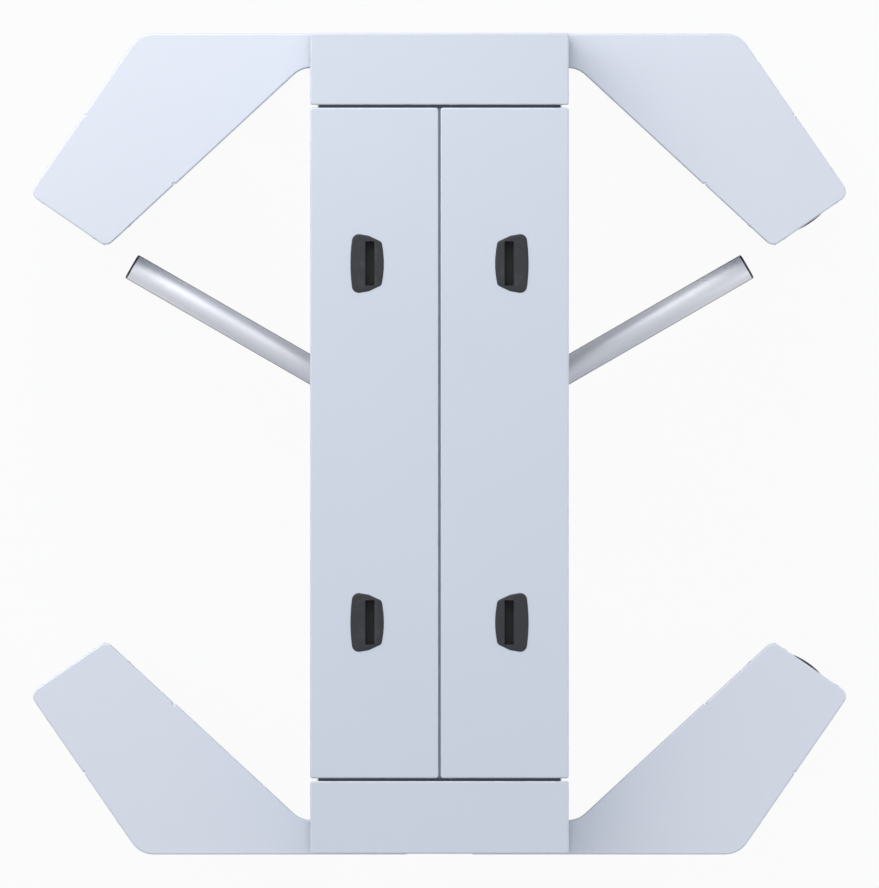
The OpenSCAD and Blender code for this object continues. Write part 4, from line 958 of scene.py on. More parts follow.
def on_end_face(points, middle):
    """Shape drawn as across, up and out, laid on a wall's end face."""
    flat = END_MID + points[..., :1] * OUT_OF_WALL - points[..., 2:] * ALONG_OUT
    return np.concatenate([flat, middle + points[..., 1:2]], -1)


def bulge_height(bow, bulge, across):
    """Height of an arc of that radius over a face, by the distance from its middle line."""
    return np.sqrt(np.maximum(bow ** 2 - across ** 2, 0)) - (bow - bulge)


def end_face_piece(surface, width, height, bulge, middle, rows, wear):
    """Curved panel on a wall's end face, and the radius of its arc.

    Its face is a rounded rectangle in the end face's plane. A point stands out by the arc's
    height over its distance from the panel's middle line, times the row's share.
    """
    bow = (width ** 2 / 4 + bulge ** 2) / (2 * bulge)
    rings = []
    for inset, share in rows:
        plan = finer(outline(rect(width, height), 0.010, inset, 5), 6)
        rings.append(lift(plan, share * bulge_height(bow, bulge, plan[:, 0])))
    surface.grid(on_end_face(np.stack(rings), middle), ends=(False, True), wear=wear)
    return bow


def make_controls(looks):
    """Card reader and status indicator on the end faces at +X."""
    rows = [(0.0, 0.0), (0.0002, 0.55), (0.001, 0.88), (0.0026, 1.0), (0.006, 1.0), (0.012, 1.0),
            (0.018, 1.0), (0.024, 1.0)]
    wear, under, over = [0, 0.8, 1, 0.4, 0, 0, 0, 0], 0.00005, 0.0001
    reader, lamp = Mirrored(True, False), Mirrored(True)
    bow = end_face_piece(reader, 0.072, 0.112, READER_BULGE, READER_Z, rows + [(0.030, 1.0)],
                         wear + [0])
    reader.piece("card_reader_shell", "frame", "reader_plastic", ["card_reader"])
    lamp_bow = end_face_piece(lamp, 0.060, 0.150, LAMP_BULGE, LAMP_Z, rows, wear)
    lamp.piece("status_indicator_lens", "frame", "lamp_lens", ["status_indicator"])
    field = turned_section([(0.0130, -0.0004), (0.0130, under), (0.0127, over), (0.0065, over),
                            (0.0, over)])
    field[..., 2] += bulge_height(lamp_bow, LAMP_BULGE, field[..., 0])
    for light, finish, up in (("red_light", "dim_red_light", 0.034),
                              ("green_light", "green_light", -0.034)):
        round_light = Mirrored(True).grid(on_end_face(field + [0, up, 0], LAMP_Z))
        round_light.piece(f"status_{light}", "frame", "lamp_lens", finish=finish)
    bar = stack_rings(rect(0.022, 0.003), 0.0014, [(0, -0.0004), (0, under), (0.0005, over)], 5)
    bar[..., 2] += bulge_height(bow, READER_BULGE, bar[..., 0])
    slit = Mirrored(True, False)
    slit.grid(on_end_face(bar + [0, 0.036, 0], READER_Z), ends=(False, True))
    slit.piece("card_reader_light", "frame", "reader_plastic", finish="green_light")


def on_wall(points, at, normal):
    """Shape drawn as across, up and out, laid on an upright face, with an outward normal."""
    out = np.append(normal, 0.0)
    across = np.array([-out[1], out[0], 0.0])
    return at + points[..., :1] * across + points[..., 1:2] * [0, 0, 1] + points[..., 2:] * out


def make_fixings(looks):
    """Low button screws that hold the wall covers, the feet of the pillars and the end caps."""
    screw, high, foot = button_screw(0.0048, 0.0010), 2.078, 0.060
    along = (0.060, 0.300)
    places = [(TIP_OUT + s * ALONG_OUT, OUT_OF_WALL, high) for s in along]
    places += [(TIP_IN - s * ALONG_IN, -INTO_WALL, high) for s in along]
    places += [(END_MID + s * OUT_OF_WALL, -ALONG_OUT, z) for s in (-0.060, 0.060)
               for z in (foot, high)]
    places += [((BEAM_HALF, y), (1.0, 0.0), 2.142) for y in (0.664, 0.756)]
    fixings = Surface()
    for *_, right, back in QUADRANTS:
        one = Mirrored(right, back)
        for at, normal, z in places:
            one.grid(on_wall(screw, np.append(at, z), normal), wear=0.2)
        fixings.take(one)
    fixings.piece("button_screws", "frame", "zinc_fastener")


def make_floor_bearing(looks):
    """Cast housing with a round plate and four anchor holes."""
    top, steps = 0.012, 72
    corner_ways = direction(np.radians([45, 135, 225, 315]))
    holes = [circle(ANCHOR_HOLE, 0.095 * way, 24) for way in corner_ways]
    side = turned_section([(0.119, 0.0), (0.120, 0.001), (0.120, 0.0105), (0.1196, 0.0115),
                           (0.1185, top)], steps)
    neck = turned_section([(0.0615, top), (0.0580, 0.0128), (0.0560, 0.0150), (0.0550, 0.019),
                           (0.055, 0.0502), (0.0545, 0.0514), (0.0530, 0.052), (0.0372, 0.052),
                           (0.0361, 0.0510), (0.0361, 0.030), (0.0235, 0.030),
                           (0.0235, 0.0005)], steps)
    cast = Surface().grid(side, wear=[0, 0, 0.3, 1, 0.6])
    cast.grid(neck, wear=[0, 0, 0, 0, 0.4, 1, 0.6, 0, 0, 0, 0, 0])
    cast.flat([side[-1], neck[0]] + [lift(hole, top) for hole in holes])
    cast.flat([side[0], neck[-1] * [1, 1, 0]] + [lift(hole, 0.0) for hole in holes])
    for hole in holes:
        cast.grid(np.stack([lift(hole, top), lift(hole, 0.0)]))
    cast.piece("floor_bearing_cast", "frame", "cast_housing", ["floor_bearing_base"])


# Drive, lock and control gear

MOTOR_AT = np.array([0, 0.300, 0])
MOTOR_Y = MOTOR_AT[1]
DRIVEN_R, MOTOR_R, TOOTH = 0.100, 0.040, 0.0024
DRIVEN_TEETH, MOTOR_TEETH, BELT_TEETH = 80, 32, 134
PULLEY_LOW, PULLEY_TOP = 2.150, 2.178
DISC_LOW, DISC_TOP, DISC_R = 2.190, 2.198, 0.130
MOTOR_LOW = 2.196
BORE_R = 0.02505
FLANGE_LOW = 2.098
PIVOT = np.array([0.130, -0.085])
PLATFORM_TOP = 2.171
PLUNGER_AT = np.array([0, -0.010, 2.194])
GEAR_Y = -0.3335
BOARD_AT, BOARD_LOW, BOARD_TOP = np.array([-0.110, GEAR_Y]), 2.124, 2.1256
SUPPLY_AT, SUPPLY_TOP = np.array([0.115, GEAR_Y]), TRAY_FLOOR + 0.045
STRIP_BACK, TERMINAL_PITCH = 0.079, 0.0095
ROW_Y = -0.560
UP_ALONG_X, UP_ALONG_Y = (1, 0, 2), (0, 1, 2)


def tooth_wave(phase):
    """Wave between nought and one: a cosine stretched and cut off, with flat tips and roots."""
    return np.clip(0.5 + 1.8 * np.cos(phase), 0, 1)


def hexagon(across, count=36):
    """Radius of a hexagon at each angle: half its width over the cosine from the next flat."""
    a = around_circle(count)
    return across / 2 / np.cos((a + np.pi / 6) % (np.pi / 3) - np.pi / 6)


def hex_head():
    """Hexagon head on a washer, whose top is turned to a cone of thirty degrees."""
    across, top, rim = 0.016, 0.0064, 0.0015
    side, face = hexagon(across), 0.46 * across
    return turned_section([(0, 0), (0.62 * across, 0), (0.62 * across, rim), (side, rim),
                           (side, top - (side - face) * 0.577), (face, top), (0.3 * across, top),
                           (0, top)], 36)


def socket_screw(size):
    """Cylinder head as high as its thread is wide, with a hexagon socket."""
    key = hexagon(0.8 * size)
    return turned_section([(0, 0), (0.75 * size, 0), (0.75 * size, 0.9 * size),
                           (0.67 * size, size), (key, size), (key, 0.5 * size),
                           (0, 0.45 * size)], 36)


def button_screw(radius, height):
    """Round head: radius times the sine and height times the cosine of one angle, with a socket."""
    rows = [(0, -0.001), (radius, -0.001)]
    rows += [(radius * np.sin(t), height * np.cos(t)) for t in np.linspace(np.pi / 2, 0.45, 6)]
    key = hexagon(0.7 * radius, 24)
    return turned_section(rows + [(key, 0.9 * height), (key, 0.3 * height), (0, 0.25 * height)], 24)


def slot_screw(radius, height):
    """Cheese head with a slot: the middle points of its top drop where they lie near one line."""
    rows = [(0, 0), (radius, 0), (radius, height * 0.85), (radius * 0.93, height)]
    for share in (0.80, 0.45, 0.0):
        in_slot = np.abs(share * np.sin(around_circle(24))) < 0.2
        rows.append((radius * share, height - 0.5 * height * in_slot))
    return turned_section(rows, 24)


def blocks(surface, centres, size, low, high):
    """Plain small blocks, one at each place, from one height to another."""
    ring = rect(*size)
    surface.copies(np.stack([lift(ring, low), lift(ring, high)]), centres, ends=(True, True),
                   wear=0.3)


def row_of(count, pitch):
    """Evenly spaced places about nought."""
    return pitch * (np.arange(count) - (count - 1) / 2)


def extrude(surface, section, radii, low, high, order, bevel=0.0, steps=4):
    """Section carried along a line. order gives the places of across, along and up."""
    rows = [(0, low), (0, high)]
    if bevel:
        rows = [(bevel, low), (0, low + bevel), (0, high - bevel), (bevel, high)]
    rings = []
    for inset, along in rows:
        plan = outline(section, radii, inset, steps)
        rings.append(np.insert(plan, 1, along, axis=1)[:, np.argsort(order)])
    wear = [1, 0.3, 0.3, 1] if bevel else 0.2
    surface.grid(np.stack(rings), ends=(True, True), wear=wear)


def channel(width, height, wall, top):
    """Section of a channel turned upside down, with a wall and a top thickness, and its radii."""
    w, h = width / 2, height
    section = [[-w, 0], [-w + wall, 0], [-w + wall, h - top], [w - wall, h - top], [w - wall, 0],
               [w, 0], [w, h], [-w, h]]
    foot, inner, outer = 3e-4, 1e-3, top + 1e-3
    return np.array(section), np.array([foot, foot, inner, inner, foot, foot, outer, outer])


def ring_section(inner, outer, low, top, bevel, count):
    """Flat ring with bevelled outer edges, to be closed."""
    return turned_section([(inner, low), (outer - bevel, low), (outer, low + bevel),
                           (outer, top - bevel), (outer - bevel, top), (inner, top)], count)


def toothed_wheel(radius, teeth, start, inner, count):
    """Toothed ring between two flanges: its radius drops by the tooth times the teeth's wave."""
    a = around_circle(teeth * 8)
    r = radius - TOOTH * tooth_wave(teeth * (a - start))
    low, top, flange = PULLEY_LOW + 0.001, PULLEY_TOP - 0.001, 0.002
    wheel = Surface().grid(turned_section([(inner, low), (r, low), (r, top), (inner, top)], len(a)),
                           closed=True)
    for foot in (PULLEY_LOW, PULLEY_TOP - flange):
        wheel.grid(ring_section(inner, radius + 0.004, foot, foot + flange, 0.0005, count),
                   closed=True, wear=[0, 0.8, 1, 1, 0.8, 0])
    return wheel


def belt_line(stations):
    """Middle and outward direction of the belt's run.

    The direction's angle, the centre and the radius grow evenly along each arc and each straight,
    because both ends of a straight touch their pulleys at the same angle.
    """
    lean = np.arcsin((DRIVEN_R - MOTOR_R) / MOTOR_Y)
    straight = MOTOR_Y * np.cos(lean)
    half_driven, half_motor = DRIVEN_R * (np.pi / 2 + lean), MOTOR_R * (np.pi / 2 - lean)
    knots = np.cumsum([0, half_driven, straight, 2 * half_motor, straight, half_driven])
    s = stations * knots[-1]
    angle = np.interp(s, knots, [-np.pi / 2, lean, lean, np.pi - lean, np.pi - lean, 3 * np.pi / 2])
    centre = np.interp(s, knots, [0, 0, MOTOR_Y, MOTOR_Y, 0, 0])
    radius = np.interp(s, knots, [DRIVEN_R, DRIVEN_R, MOTOR_R, MOTOR_R, DRIVEN_R, DRIVEN_R])
    out = direction(angle)
    return np.stack([0 * centre, centre], 1) + radius[:, None] * out, out


def make_belt():
    """Toothed belt: a flat back, and the teeth's wave inside."""
    share = np.arange(BELT_TEETH * 8) / (BELT_TEETH * 8)
    line, out = belt_line(share)
    inside = 0.0005 - 0.0019 * tooth_wave(2 * np.pi * BELT_TEETH * share)
    low, top, back, edge = 2.154, 2.174, 0.0045, 0.0042
    rows = [(edge, low), (back, low + 0.0005), (back, top - 0.0005), (edge, top), (inside, top),
            (inside, low)]
    rings = [lift(line + np.broadcast_to(d, len(line))[:, None] * out, z) for d, z in rows]
    belt = Surface().grid(np.stack(rings), closed=True, wear=[0.6, 0.3, 0.3, 0.6, 0.2, 0.2])
    belt.piece("toothed_belt", "frame", "belt_rubber", ["drive_belt"])


def make_pulleys():
    """Driven pulley with windows and a hub, and the small pulley on the motor's shaft."""
    rim_in = 0.088
    windows = [circle(0.013, 0.062 * way, 32) for way in direction(around_circle(6))]
    pulley = toothed_wheel(DRIVEN_R, DRIVEN_TEETH, -np.pi / 2, rim_in, 128)
    plate(pulley, circle(rim_in + 0.001, count=96), 0.0003, 2.159, 2.169, 0.0003,
          windows + [circle(0.026, count=40)], 1)
    pulley.grid(ring_section(BORE_R, 0.035, PULLEY_LOW, DISC_LOW, 0.001, 56), closed=True)
    pulley.piece("driven_pulley_wheel", "rotor", "pulley_aluminium", ["driven_pulley"])

    small = toothed_wheel(MOTOR_R, MOTOR_TEETH, np.pi / 2, 0.030, 72)
    small.grid(turned_section([(0, 2.152), (0.031, 2.152), (0.031, 2.176), (0.016, 2.176),
                               (0.015, 2.177), (0.015, 2.1785), (0.009, 2.1785),
                               (0.009, MOTOR_LOW), (0, MOTOR_LOW)], 48))
    small.points = [p + MOTOR_AT for p in small.points]
    small.piece("motor_pulley_wheel", "motor_rotor", "pulley_aluminium", ["motor_pulley"])


def make_motor():
    """Finned motor with a flange and a terminal box, its screws and its bracket."""
    skin, shell, fin_count = 0.0545, 0.055, 28
    a = around_circle(fin_count * 8)
    fins = skin - 0.0050 * np.clip(0.5 - 2.4 * np.cos(fin_count * a), 0, 1)
    rows = [(0.030, 0), (skin, 0), (shell, 0.0008), (shell, 0.009), (skin, 0.010), (fins, 0.011),
            (fins, 0.058), (skin, 0.059), (shell, 0.0598), (shell, 0.064), (skin, 0.065),
            (0.0530, 0.066), (0.0530, 0.074), (0.0515, 0.080), (0.0470, 0.0832),
            (0.0400, 0.084), (0.0140, 0.084), (0.0130, 0.083), (0, 0.083)]
    wear = [0, 0.4, 1, 0.8, 0.4, 0.1, 0.1, 0.4, 1, 0.6, 0.2, 0, 0.1, 0.5, 0.9, 0.2, 0.6, 0, 0]
    middle, base = MOTOR_AT[:2], MOTOR_AT + [0, 0, MOTOR_LOW]
    body = Surface().grid(turned_section(rows, len(a)) + base, wear=wear)
    plate(body, rect(0.124, 0.124, middle), 0.010, 2.186, MOTOR_LOW)
    box = middle + [0, 0.066]
    plate(body, rect(0.056, 0.040, box), 0.004, MOTOR_LOW + 0.016, MOTOR_LOW + 0.046)
    plate(body, rect(0.060, 0.044, box), 0.005, MOTOR_LOW + 0.0468, MOTOR_LOW + 0.052, 0.0015)
    body.piece("motor_body", "frame", "motor_enamel", ["drive_motor"])

    screws = Surface()
    screws.copies(socket_screw(0.008), lift(SQUARE * 0.053 + middle, MOTOR_LOW), wear=0.2)
    screws.copies(button_screw(0.0028, 0.0016),
                  lift(SQUARE * [0.025, 0.017] + box, MOTOR_LOW + 0.052), wear=0.2)
    nut = hexagon(0.018)
    gland = [(0.0, 0), (0.009, 0), (nut, 0), (nut, 0.006), (0.008, 0.007), (0.0078, 0.013),
             (0.0065, 0.016), (0.0045, 0.016), (0.0045, 0.010), (0, 0.010)]
    screws.grid(lay_along_x(turned_section(gland, 36)) + [0.028, box[1], MOTOR_LOW + 0.031],
                wear=0.3)
    screws.piece("motor_screws", "frame", "zinc_fastener")

    bracket, half = Surface(), 0.075
    section, radii = channel(2 * half, 0.072, 0.003, 0.006)
    extrude(bracket, section + [0, TRAY_FLOOR], radii, MOTOR_Y - half, MOTOR_Y + half, UP_ALONG_Y,
            0.0006)
    bracket.piece("motor_bracket_channel", "frame", "zinc_sheet", ["motor_bracket"])


def make_shaft_and_bearings():
    """Drive shaft with its flange, the top bearing, the bolts and the floor bearing's rings."""
    shaft = [(0, 2.088), (0.065, 2.088), (0.066, 2.089), (0.066, 2.097), (0.065, FLANGE_LOW),
             (0.0285, FLANGE_LOW), (0.0262, 2.0988), (0.025, 2.101), (0.025, 2.2065),
             (0.0235, 2.208), (0.0065, 2.208), (0.0020, 2.2035), (0, 2.2035)]
    turned = Surface().grid(turned_section(shaft, 64),
                            wear=[0, 0.5, 1, 1, 0.6, 0, 0, 0, 0.6, 1, 0.4, 0, 0])
    turned.piece("shaft_with_flange", "rotor", "bright_steel", ["drive_shaft"])

    foot_top = TRAY_FLOOR + 0.012
    side = stack_rings(rect(0.140, 0.140), 0.010, bevelled(TRAY_FLOOR, foot_top, 0.0012))
    neck = turned_section([(0.0560, 2.126), (0.0530, 2.1268), (0.0510, 2.1290), (0.050, 2.1335),
                           (0.050, 2.1460), (0.0485, 2.148), (0.0405, 2.148), (0.040, 2.1475),
                           (0.040, 2.1455), (0.0345, 2.1455), (0.0345, 2.1465),
                           (0.0310, 2.1465), (0.0310, 2.1458), (0.0305, 2.1470),
                           (BORE_R, 2.1470), (BORE_R, TRAY_FLOOR)], 64)
    cast = Surface().grid(side, wear=[0, 0, 0, 0, 0.3, 0.8, 1, 0.4])
    cast.grid(neck, wear=[0] * 4 + [0.3, 1, 0.8] + [0] * 9)
    cast.flat([side[-1], neck[0]]).flat([side[0], neck[-1]])
    nut = hexagon(0.007)
    nipple = turned_section([(0, 0), (nut, 0), (nut, 0.004), (0.0022, 0.0045), (0.0018, 0.007),
                             (0.0026, 0.008), (0.0018, 0.0095), (0, 0.0095)], 36)
    cast.grid(lay_along_y(nipple) + [0, 0.0495, 2.140])
    cast.piece("top_bearing_cast", "frame", "cast_housing", ["top_bearing"])

    places = np.vstack([lift(SQUARE * 0.058, foot_top),
                        lift(SQUARE * [0.0396, POST_Y], TRAY_FLOOR)])
    bolts = Surface().copies(hex_head(), places, wear=0.3)
    bolts.piece("beam_bolt_heads", "frame", "zinc_fastener", ["beam_bolts"])
    places = lift(0.050 * direction(np.radians([90, 210, 330])), FLANGE_LOW)
    bolts = Surface().copies(hex_head(), places, wear=0.3)
    bolts.piece("hub_bolt_heads", "rotor", "zinc_fastener", ["hub_bolts"])
    rings = [(0.02005, 0.028), (0.0355, 0.028), (0.036, 0.0285), (0.036, 0.0475),
             (0.0355, 0.048), (0.0315, 0.048), (0.0310, 0.0472), (0.0262, 0.0472),
             (0.0257, 0.048), (0.02005, 0.048)]
    ring = Surface().grid(turned_section(rings, 64), closed=True)
    ring.piece("floor_bearing_rings", "frame", "bright_steel", ["floor_bearing"])


def make_drive(looks):
    """Motor on its bracket, toothed belt and pulleys, shaft and bearings."""
    make_belt()
    make_pulleys()
    make_motor()
    make_shaft_and_bearings()


def make_disc():
    """Locking disc with twelve notches, six windows and a hub."""
    spin, notch_half, root = around_circle(12), 0.008, 0.114
    half = np.arcsin(notch_half / DISC_R)
    arc = np.linspace(half, np.pi / 6 - half, 5)
    notch = np.vstack([[[DISC_R * np.cos(half), -notch_half], [root, -notch_half],
                        [root, notch_half]], DISC_R * direction(arc)])
    corners = np.vstack([about_z(lift(notch, 0.0), a)[:, :2] for a in spin])
    windows = [circle(0.0169, 0.0806 * way, 36) for way in direction(spin[::2])]
    radii = np.tile([6e-4, 1e-3, 1e-3, 6e-4] + [3e-4] * 4, 12)
    disc = plate(Surface(), corners, radii, DISC_LOW, DISC_TOP, 0.0006,
                 windows + [circle(0.026, count=40)], 2)
    hub_top = DISC_TOP + 0.005
    disc.grid(ring_section(BORE_R, 0.040, DISC_TOP - 0.001, hub_top, 0.0008, 56), closed=True,
              wear=0.3)
    disc.copies(socket_screw(0.005), lift(0.033 * direction(spin[::3] + 0.5), hub_top), wear=0.3)
    disc.piece("locking_disc_plate", "rotor", "bright_steel", ["locking_disc"])


def make_lock(looks):
    """Locking disc on the shaft, and on each side a bracket, a pawl and a solenoid's plunger."""
    make_disc()
    section, radii = channel(0.131, PLATFORM_TOP - TRAY_FLOOR, 0.003, 0.004)
    table_start, table_end, table_y = 0.114, 0.227, -0.0415
    pin = turned_section([(0.012, PLATFORM_TOP), (0.012, 2.1892), (0.0115, 2.1897),
                          (0.006, 2.1897), (0.006, 2.1992), (0.0052, 2.200), (0, 2.200)])
    circlip = turned_section([(0.0055, 2.1984), (0.0092, 2.1984), (0.0092, 2.1993),
                              (0.0055, 2.1993)])
    pawl_plan = np.array([[-6, 8], [8, -6], [28, 12], [28, 90], [3, 90], [3, 80], [14, 80],
                          [14, 24]]) / 1000
    pawl_radii = np.array([3, 3, 6, 2, 0.8, 0.8, 3, 6]) / 1000
    rod = turned_section([(0, 0.1585), (0.0025, 0.1586), (0.0042, 0.1592), (0.005, 0.1605),
                          (0.005, 0.1665), (0.0040, 0.1670), (0.0040, 0.1680), (0.005, 0.1685),
                          (0.005, 0.202), (0, 0.202)], 32)
    clip = turned_section([(0.0041, 0.1672), (0.0078, 0.1672), (0.0078, 0.1679),
                           (0.0041, 0.1679)], 32)
    tables, pivot = Surface(), np.append(PIVOT, 0)
    for side, right in SIDES:
        one = Mirrored(right)
        extrude(one, section + [table_y, TRAY_FLOOR], radii, table_start, table_end, UP_ALONG_X,
                0.0006)
        one.copies(pin, pivot, wear=[0, 0.5, 1, 0, 0.4, 1, 0]).copies(circlip, pivot, closed=True)
        tables.take(one)

        pawl = plate(Mirrored(right), pawl_plan + PIVOT, pawl_radii, DISC_LOW, DISC_TOP, 0.0006)
        plate(pawl, circle(0.012, PIVOT), 0.0003, DISC_LOW + 0.0002, DISC_TOP + 0.0002, 0.0006,
              [circle(0.0061, PIVOT)], 1)
        pawl.piece(f"pawl_{side}_plate", f"pawl_{side}", "bright_steel", [f"lock_pawl_{side}"],
                   "hardened_steel")

        plunger = Mirrored(right)
        plunger.grid(lay_along_x(rod) + PLUNGER_AT, wear=[0.8, 0.8, 1, 0.5, 0.2, 0, 0, 0.4, 0, 0])
        plunger.grid(lay_along_x(clip) + PLUNGER_AT, closed=True)
        plunger.piece(f"plunger_{side}_rod", f"solenoid_plunger_{side}", "bright_steel",
                      [f"plunger_{side}"])
    cases, coils = make_solenoids()
    tables.piece("lock_tables", "frame", "zinc_sheet", ["lock_brackets"])
    cases.piece("solenoid_frames", "frame", "zinc_sheet", ["lock_solenoids"])
    coils.piece("solenoid_coils", "frame", "solenoid_case")


def make_solenoids():
    """Frames and coils of both solenoids. A coil's radius follows the sine of its windings."""
    cases, coils = Surface(), Surface()
    start, end, wall, high, wire = 0.179, 0.225, 0.003, 0.046, 0.0015
    section = np.array([[start, 0], [end, 0], [end, high], [end - wall, high], [end - wall, wall],
                        [start + wall, wall], [start + wall, high], [start, high]])
    radii = [3e-3, 3e-3, 5e-4, 5e-4, 1e-3, 1e-3, 5e-4, 5e-4]
    along = np.linspace(0.1855, 0.2185, 67)
    winding = [(0.0155 + 0.0005 * np.abs(np.sin(np.pi * (x - along[0]) / wire)), x) for x in along]
    rows = [(0.0055, 0.1822), (0.0175, 0.1822), (0.0178, 0.1826), (0.0178, 0.1846),
            (0.0155, 0.185), *winding, (0.0155, 0.219), (0.0178, 0.2194), (0.0178, 0.2214),
            (0.0175, 0.2218), (0.0055, 0.2218)]
    for right in (False, True):
        one, coil = Mirrored(right), Mirrored(right)
        extrude(one, section + [0, PLATFORM_TOP], radii, -0.028, 0.008, UP_ALONG_Y, 0.0005)
        one.copies(socket_screw(0.004), [[x, -0.0245, PLATFORM_TOP + wall] for x in (0.186, 0.218)],
                   wear=0.2)
        cases.take(one)
        coil.grid(lay_along_x(turned_section(rows)) + PLUNGER_AT)
        blocks(coil, [[0.2165, -0.016, 0], [0.2165, -0.004, 0]], (0.006, 0.006), 2.210, 2.214)
        coils.take(coil)
    return cases, coils


def make_board():
    """Control board with its metal parts, chips, relays, connectors and lights."""
    at, top = BOARD_AT, BOARD_TOP
    board = plate(Surface(), rect(0.150, 0.200, at), 0.003, BOARD_LOW, top, 0.0002)
    board.piece("control_board_plate", "frame", "board_green", ["control_board"])

    metal_parts, dark = Surface(), Surface()
    feet = lift(SQUARE * [0.067, 0.092] + at, TRAY_FLOOR)
    nut = hexagon(0.007)
    spacer = turned_section([(0, 0), (nut, 0), (nut, 0.010), (0, 0.010)], 36)
    can = turned_section([(0, 0), (0.0072, 0), (0.0078, 0.001), (0.0078, 0.0265),
                          (0.0073, 0.028), (0.0066, 0.028), (0.0062, 0.0277), (0, 0.0277)], 32)
    cans = lift(np.array([[0.030, -0.040], [0.030, 0.040]]) + at, top)
    metal_parts.copies(spacer, feet)
    metal_parts.copies(button_screw(0.0032, 0.0018), feet + [0, 0, top - TRAY_FLOOR], wear=0.3)
    metal_parts.copies(can, cans, wear=0.2)
    sink = at + [0.052, 0]
    fins = lift(sink + [[0, 0.003 * i - 0.009] for i in range(7)], 0)
    blocks(metal_parts, fins, (0.026, 0.0012), top + 0.001, top + 0.016)
    blocks(metal_parts, np.append(sink, 0), (0.026, 0.021), top, top + 0.002)
    legs = np.array([[x, y] for y in (-0.0115, 0.0115) for x in row_of(15, 0.0012)])
    blocks(metal_parts, lift(legs + at, 0), (0.0006, 0.003), top, top + 0.0008)
    blocks(metal_parts, lift(legs[:, ::-1] + at, 0), (0.003, 0.0006), top, top + 0.0008)
    ports = row_of(9, 0.010)
    screws = np.array([[x, y] for y in (-0.0925, 0.0925) for x in ports]) + at
    metal_parts.copies(slot_screw(0.0026, 0.0015), lift(screws, top + 0.0115), wear=0.3)
    metal_parts.piece("board_metal_parts", "frame", "zinc_fastener")

    sleeve = turned_section([(0.0078, 0.001), (0.0080, 0.0013), (0.0080, 0.0268),
                             (0.0074, 0.0280), (0.0070, 0.0280)], 32)
    dark.copies(sleeve, cans)
    plate(dark, rect(0.020, 0.020, at), 0.0005, top + 0.0004, top + 0.0024, 0.0003)
    for dx, dy, wide, deep, high in (
            (0.014, 0.022, 0.010, 0.006, 0.0020), (0.014, -0.022, 0.006, 0.010, 0.0018),
            (-0.012, 0.030, 0.012, 0.012, 0.008), (-0.010, -0.030, 0.008, 0.005, 0.002),
            (0.052, 0.030, 0.012, 0.012, 0.010), (0.052, -0.032, 0.014, 0.008, 0.006)):
        plate(dark, rect(wide, deep, at + [dx, dy]), 0.0006, top, top + high, 0.0003)
    dark.piece("board_dark_parts", "frame", "solenoid_case")

    relays, connectors, lights = Surface(), Surface(), Surface()
    for y in row_of(5, 0.2 / 6):
        plate(relays, rect(0.030, 0.014, at + [-0.0375, y]), 0.001, top, top + 0.020, 0.0006)
    relays.piece("board_relays", "frame", "terminal_grey", finish="relay_blue")
    step = np.array([[-0.005, 0], [0.005, 0], [0.005, 0.007], [0.0025, 0.012], [-0.005, 0.012]])
    for way in (-1, 1):
        for x in at[0] + ports:
            extrude(connectors, (step * [way, 1])[::way] + [at[1] + way * 0.090, top], 3e-4,
                    x - 0.0049, x + 0.0049, UP_ALONG_X, 0.0003, 1)
    connectors.piece("board_connectors", "frame", "terminal_grey", finish="connector_green")
    spots = [[at[0] + 0.030 + 0.005 * i, at[1] + 0.070, 0] for i in range(3)]
    blocks(lights, spots, (0.002, 0.003), top, top + 0.0018)
    lights.piece("board_lights", "frame", "board_green", finish="green_light")


def make_power_supply():
    """Power supply with slots in its case, and its strip of terminals."""
    at, top, strip_at = SUPPLY_AT, SUPPLY_TOP, SUPPLY_AT + [0, STRIP_BACK]
    middle, foot = at + [0, -0.010], TRAY_FLOOR + 0.006
    case, strip = Surface(), Surface()
    rows = [(0, TRAY_FLOOR)] + [(d, top - z) for d, z in fold(0.0015, 4)[::-1]]
    rings = stack_rings(rect(0.100, 0.160, middle), 0.002, rows, 4)
    slots = [outline(rect(0.060, 0.004, middle + [0, y]), 0.0019, 0, 4)
             for y in row_of(6, 0.18 / 7)]
    case.grid(rings, ends=(True, False), wear=[0.2, 0.2, 1, 1, 0.2])
    case.flat([rings[-1]] + [lift(slot, top) for slot in slots])
    for slot in slots:
        case.grid(np.stack([lift(slot, top), lift(slot, top - 0.002)]), ends=(False, True))
    plate(case, rect(0.100, 0.020, at + [0, 0.080]), 0.001, TRAY_FLOOR, foot, 0.0004)
    case.piece("power_supply_case", "frame", "zinc_sheet", ["power_supply"])
    plate(strip, rect(0.090, 0.016, strip_at), 0.001, foot, foot + 0.008, 0.0005)
    walls = lift([strip_at + [x, 0] for x in row_of(10, TERMINAL_PITCH)], 0)
    blocks(strip, walls, (0.0015, 0.016), foot + 0.007, foot + 0.014)
    strip.piece("power_supply_strip", "frame", "solenoid_case")


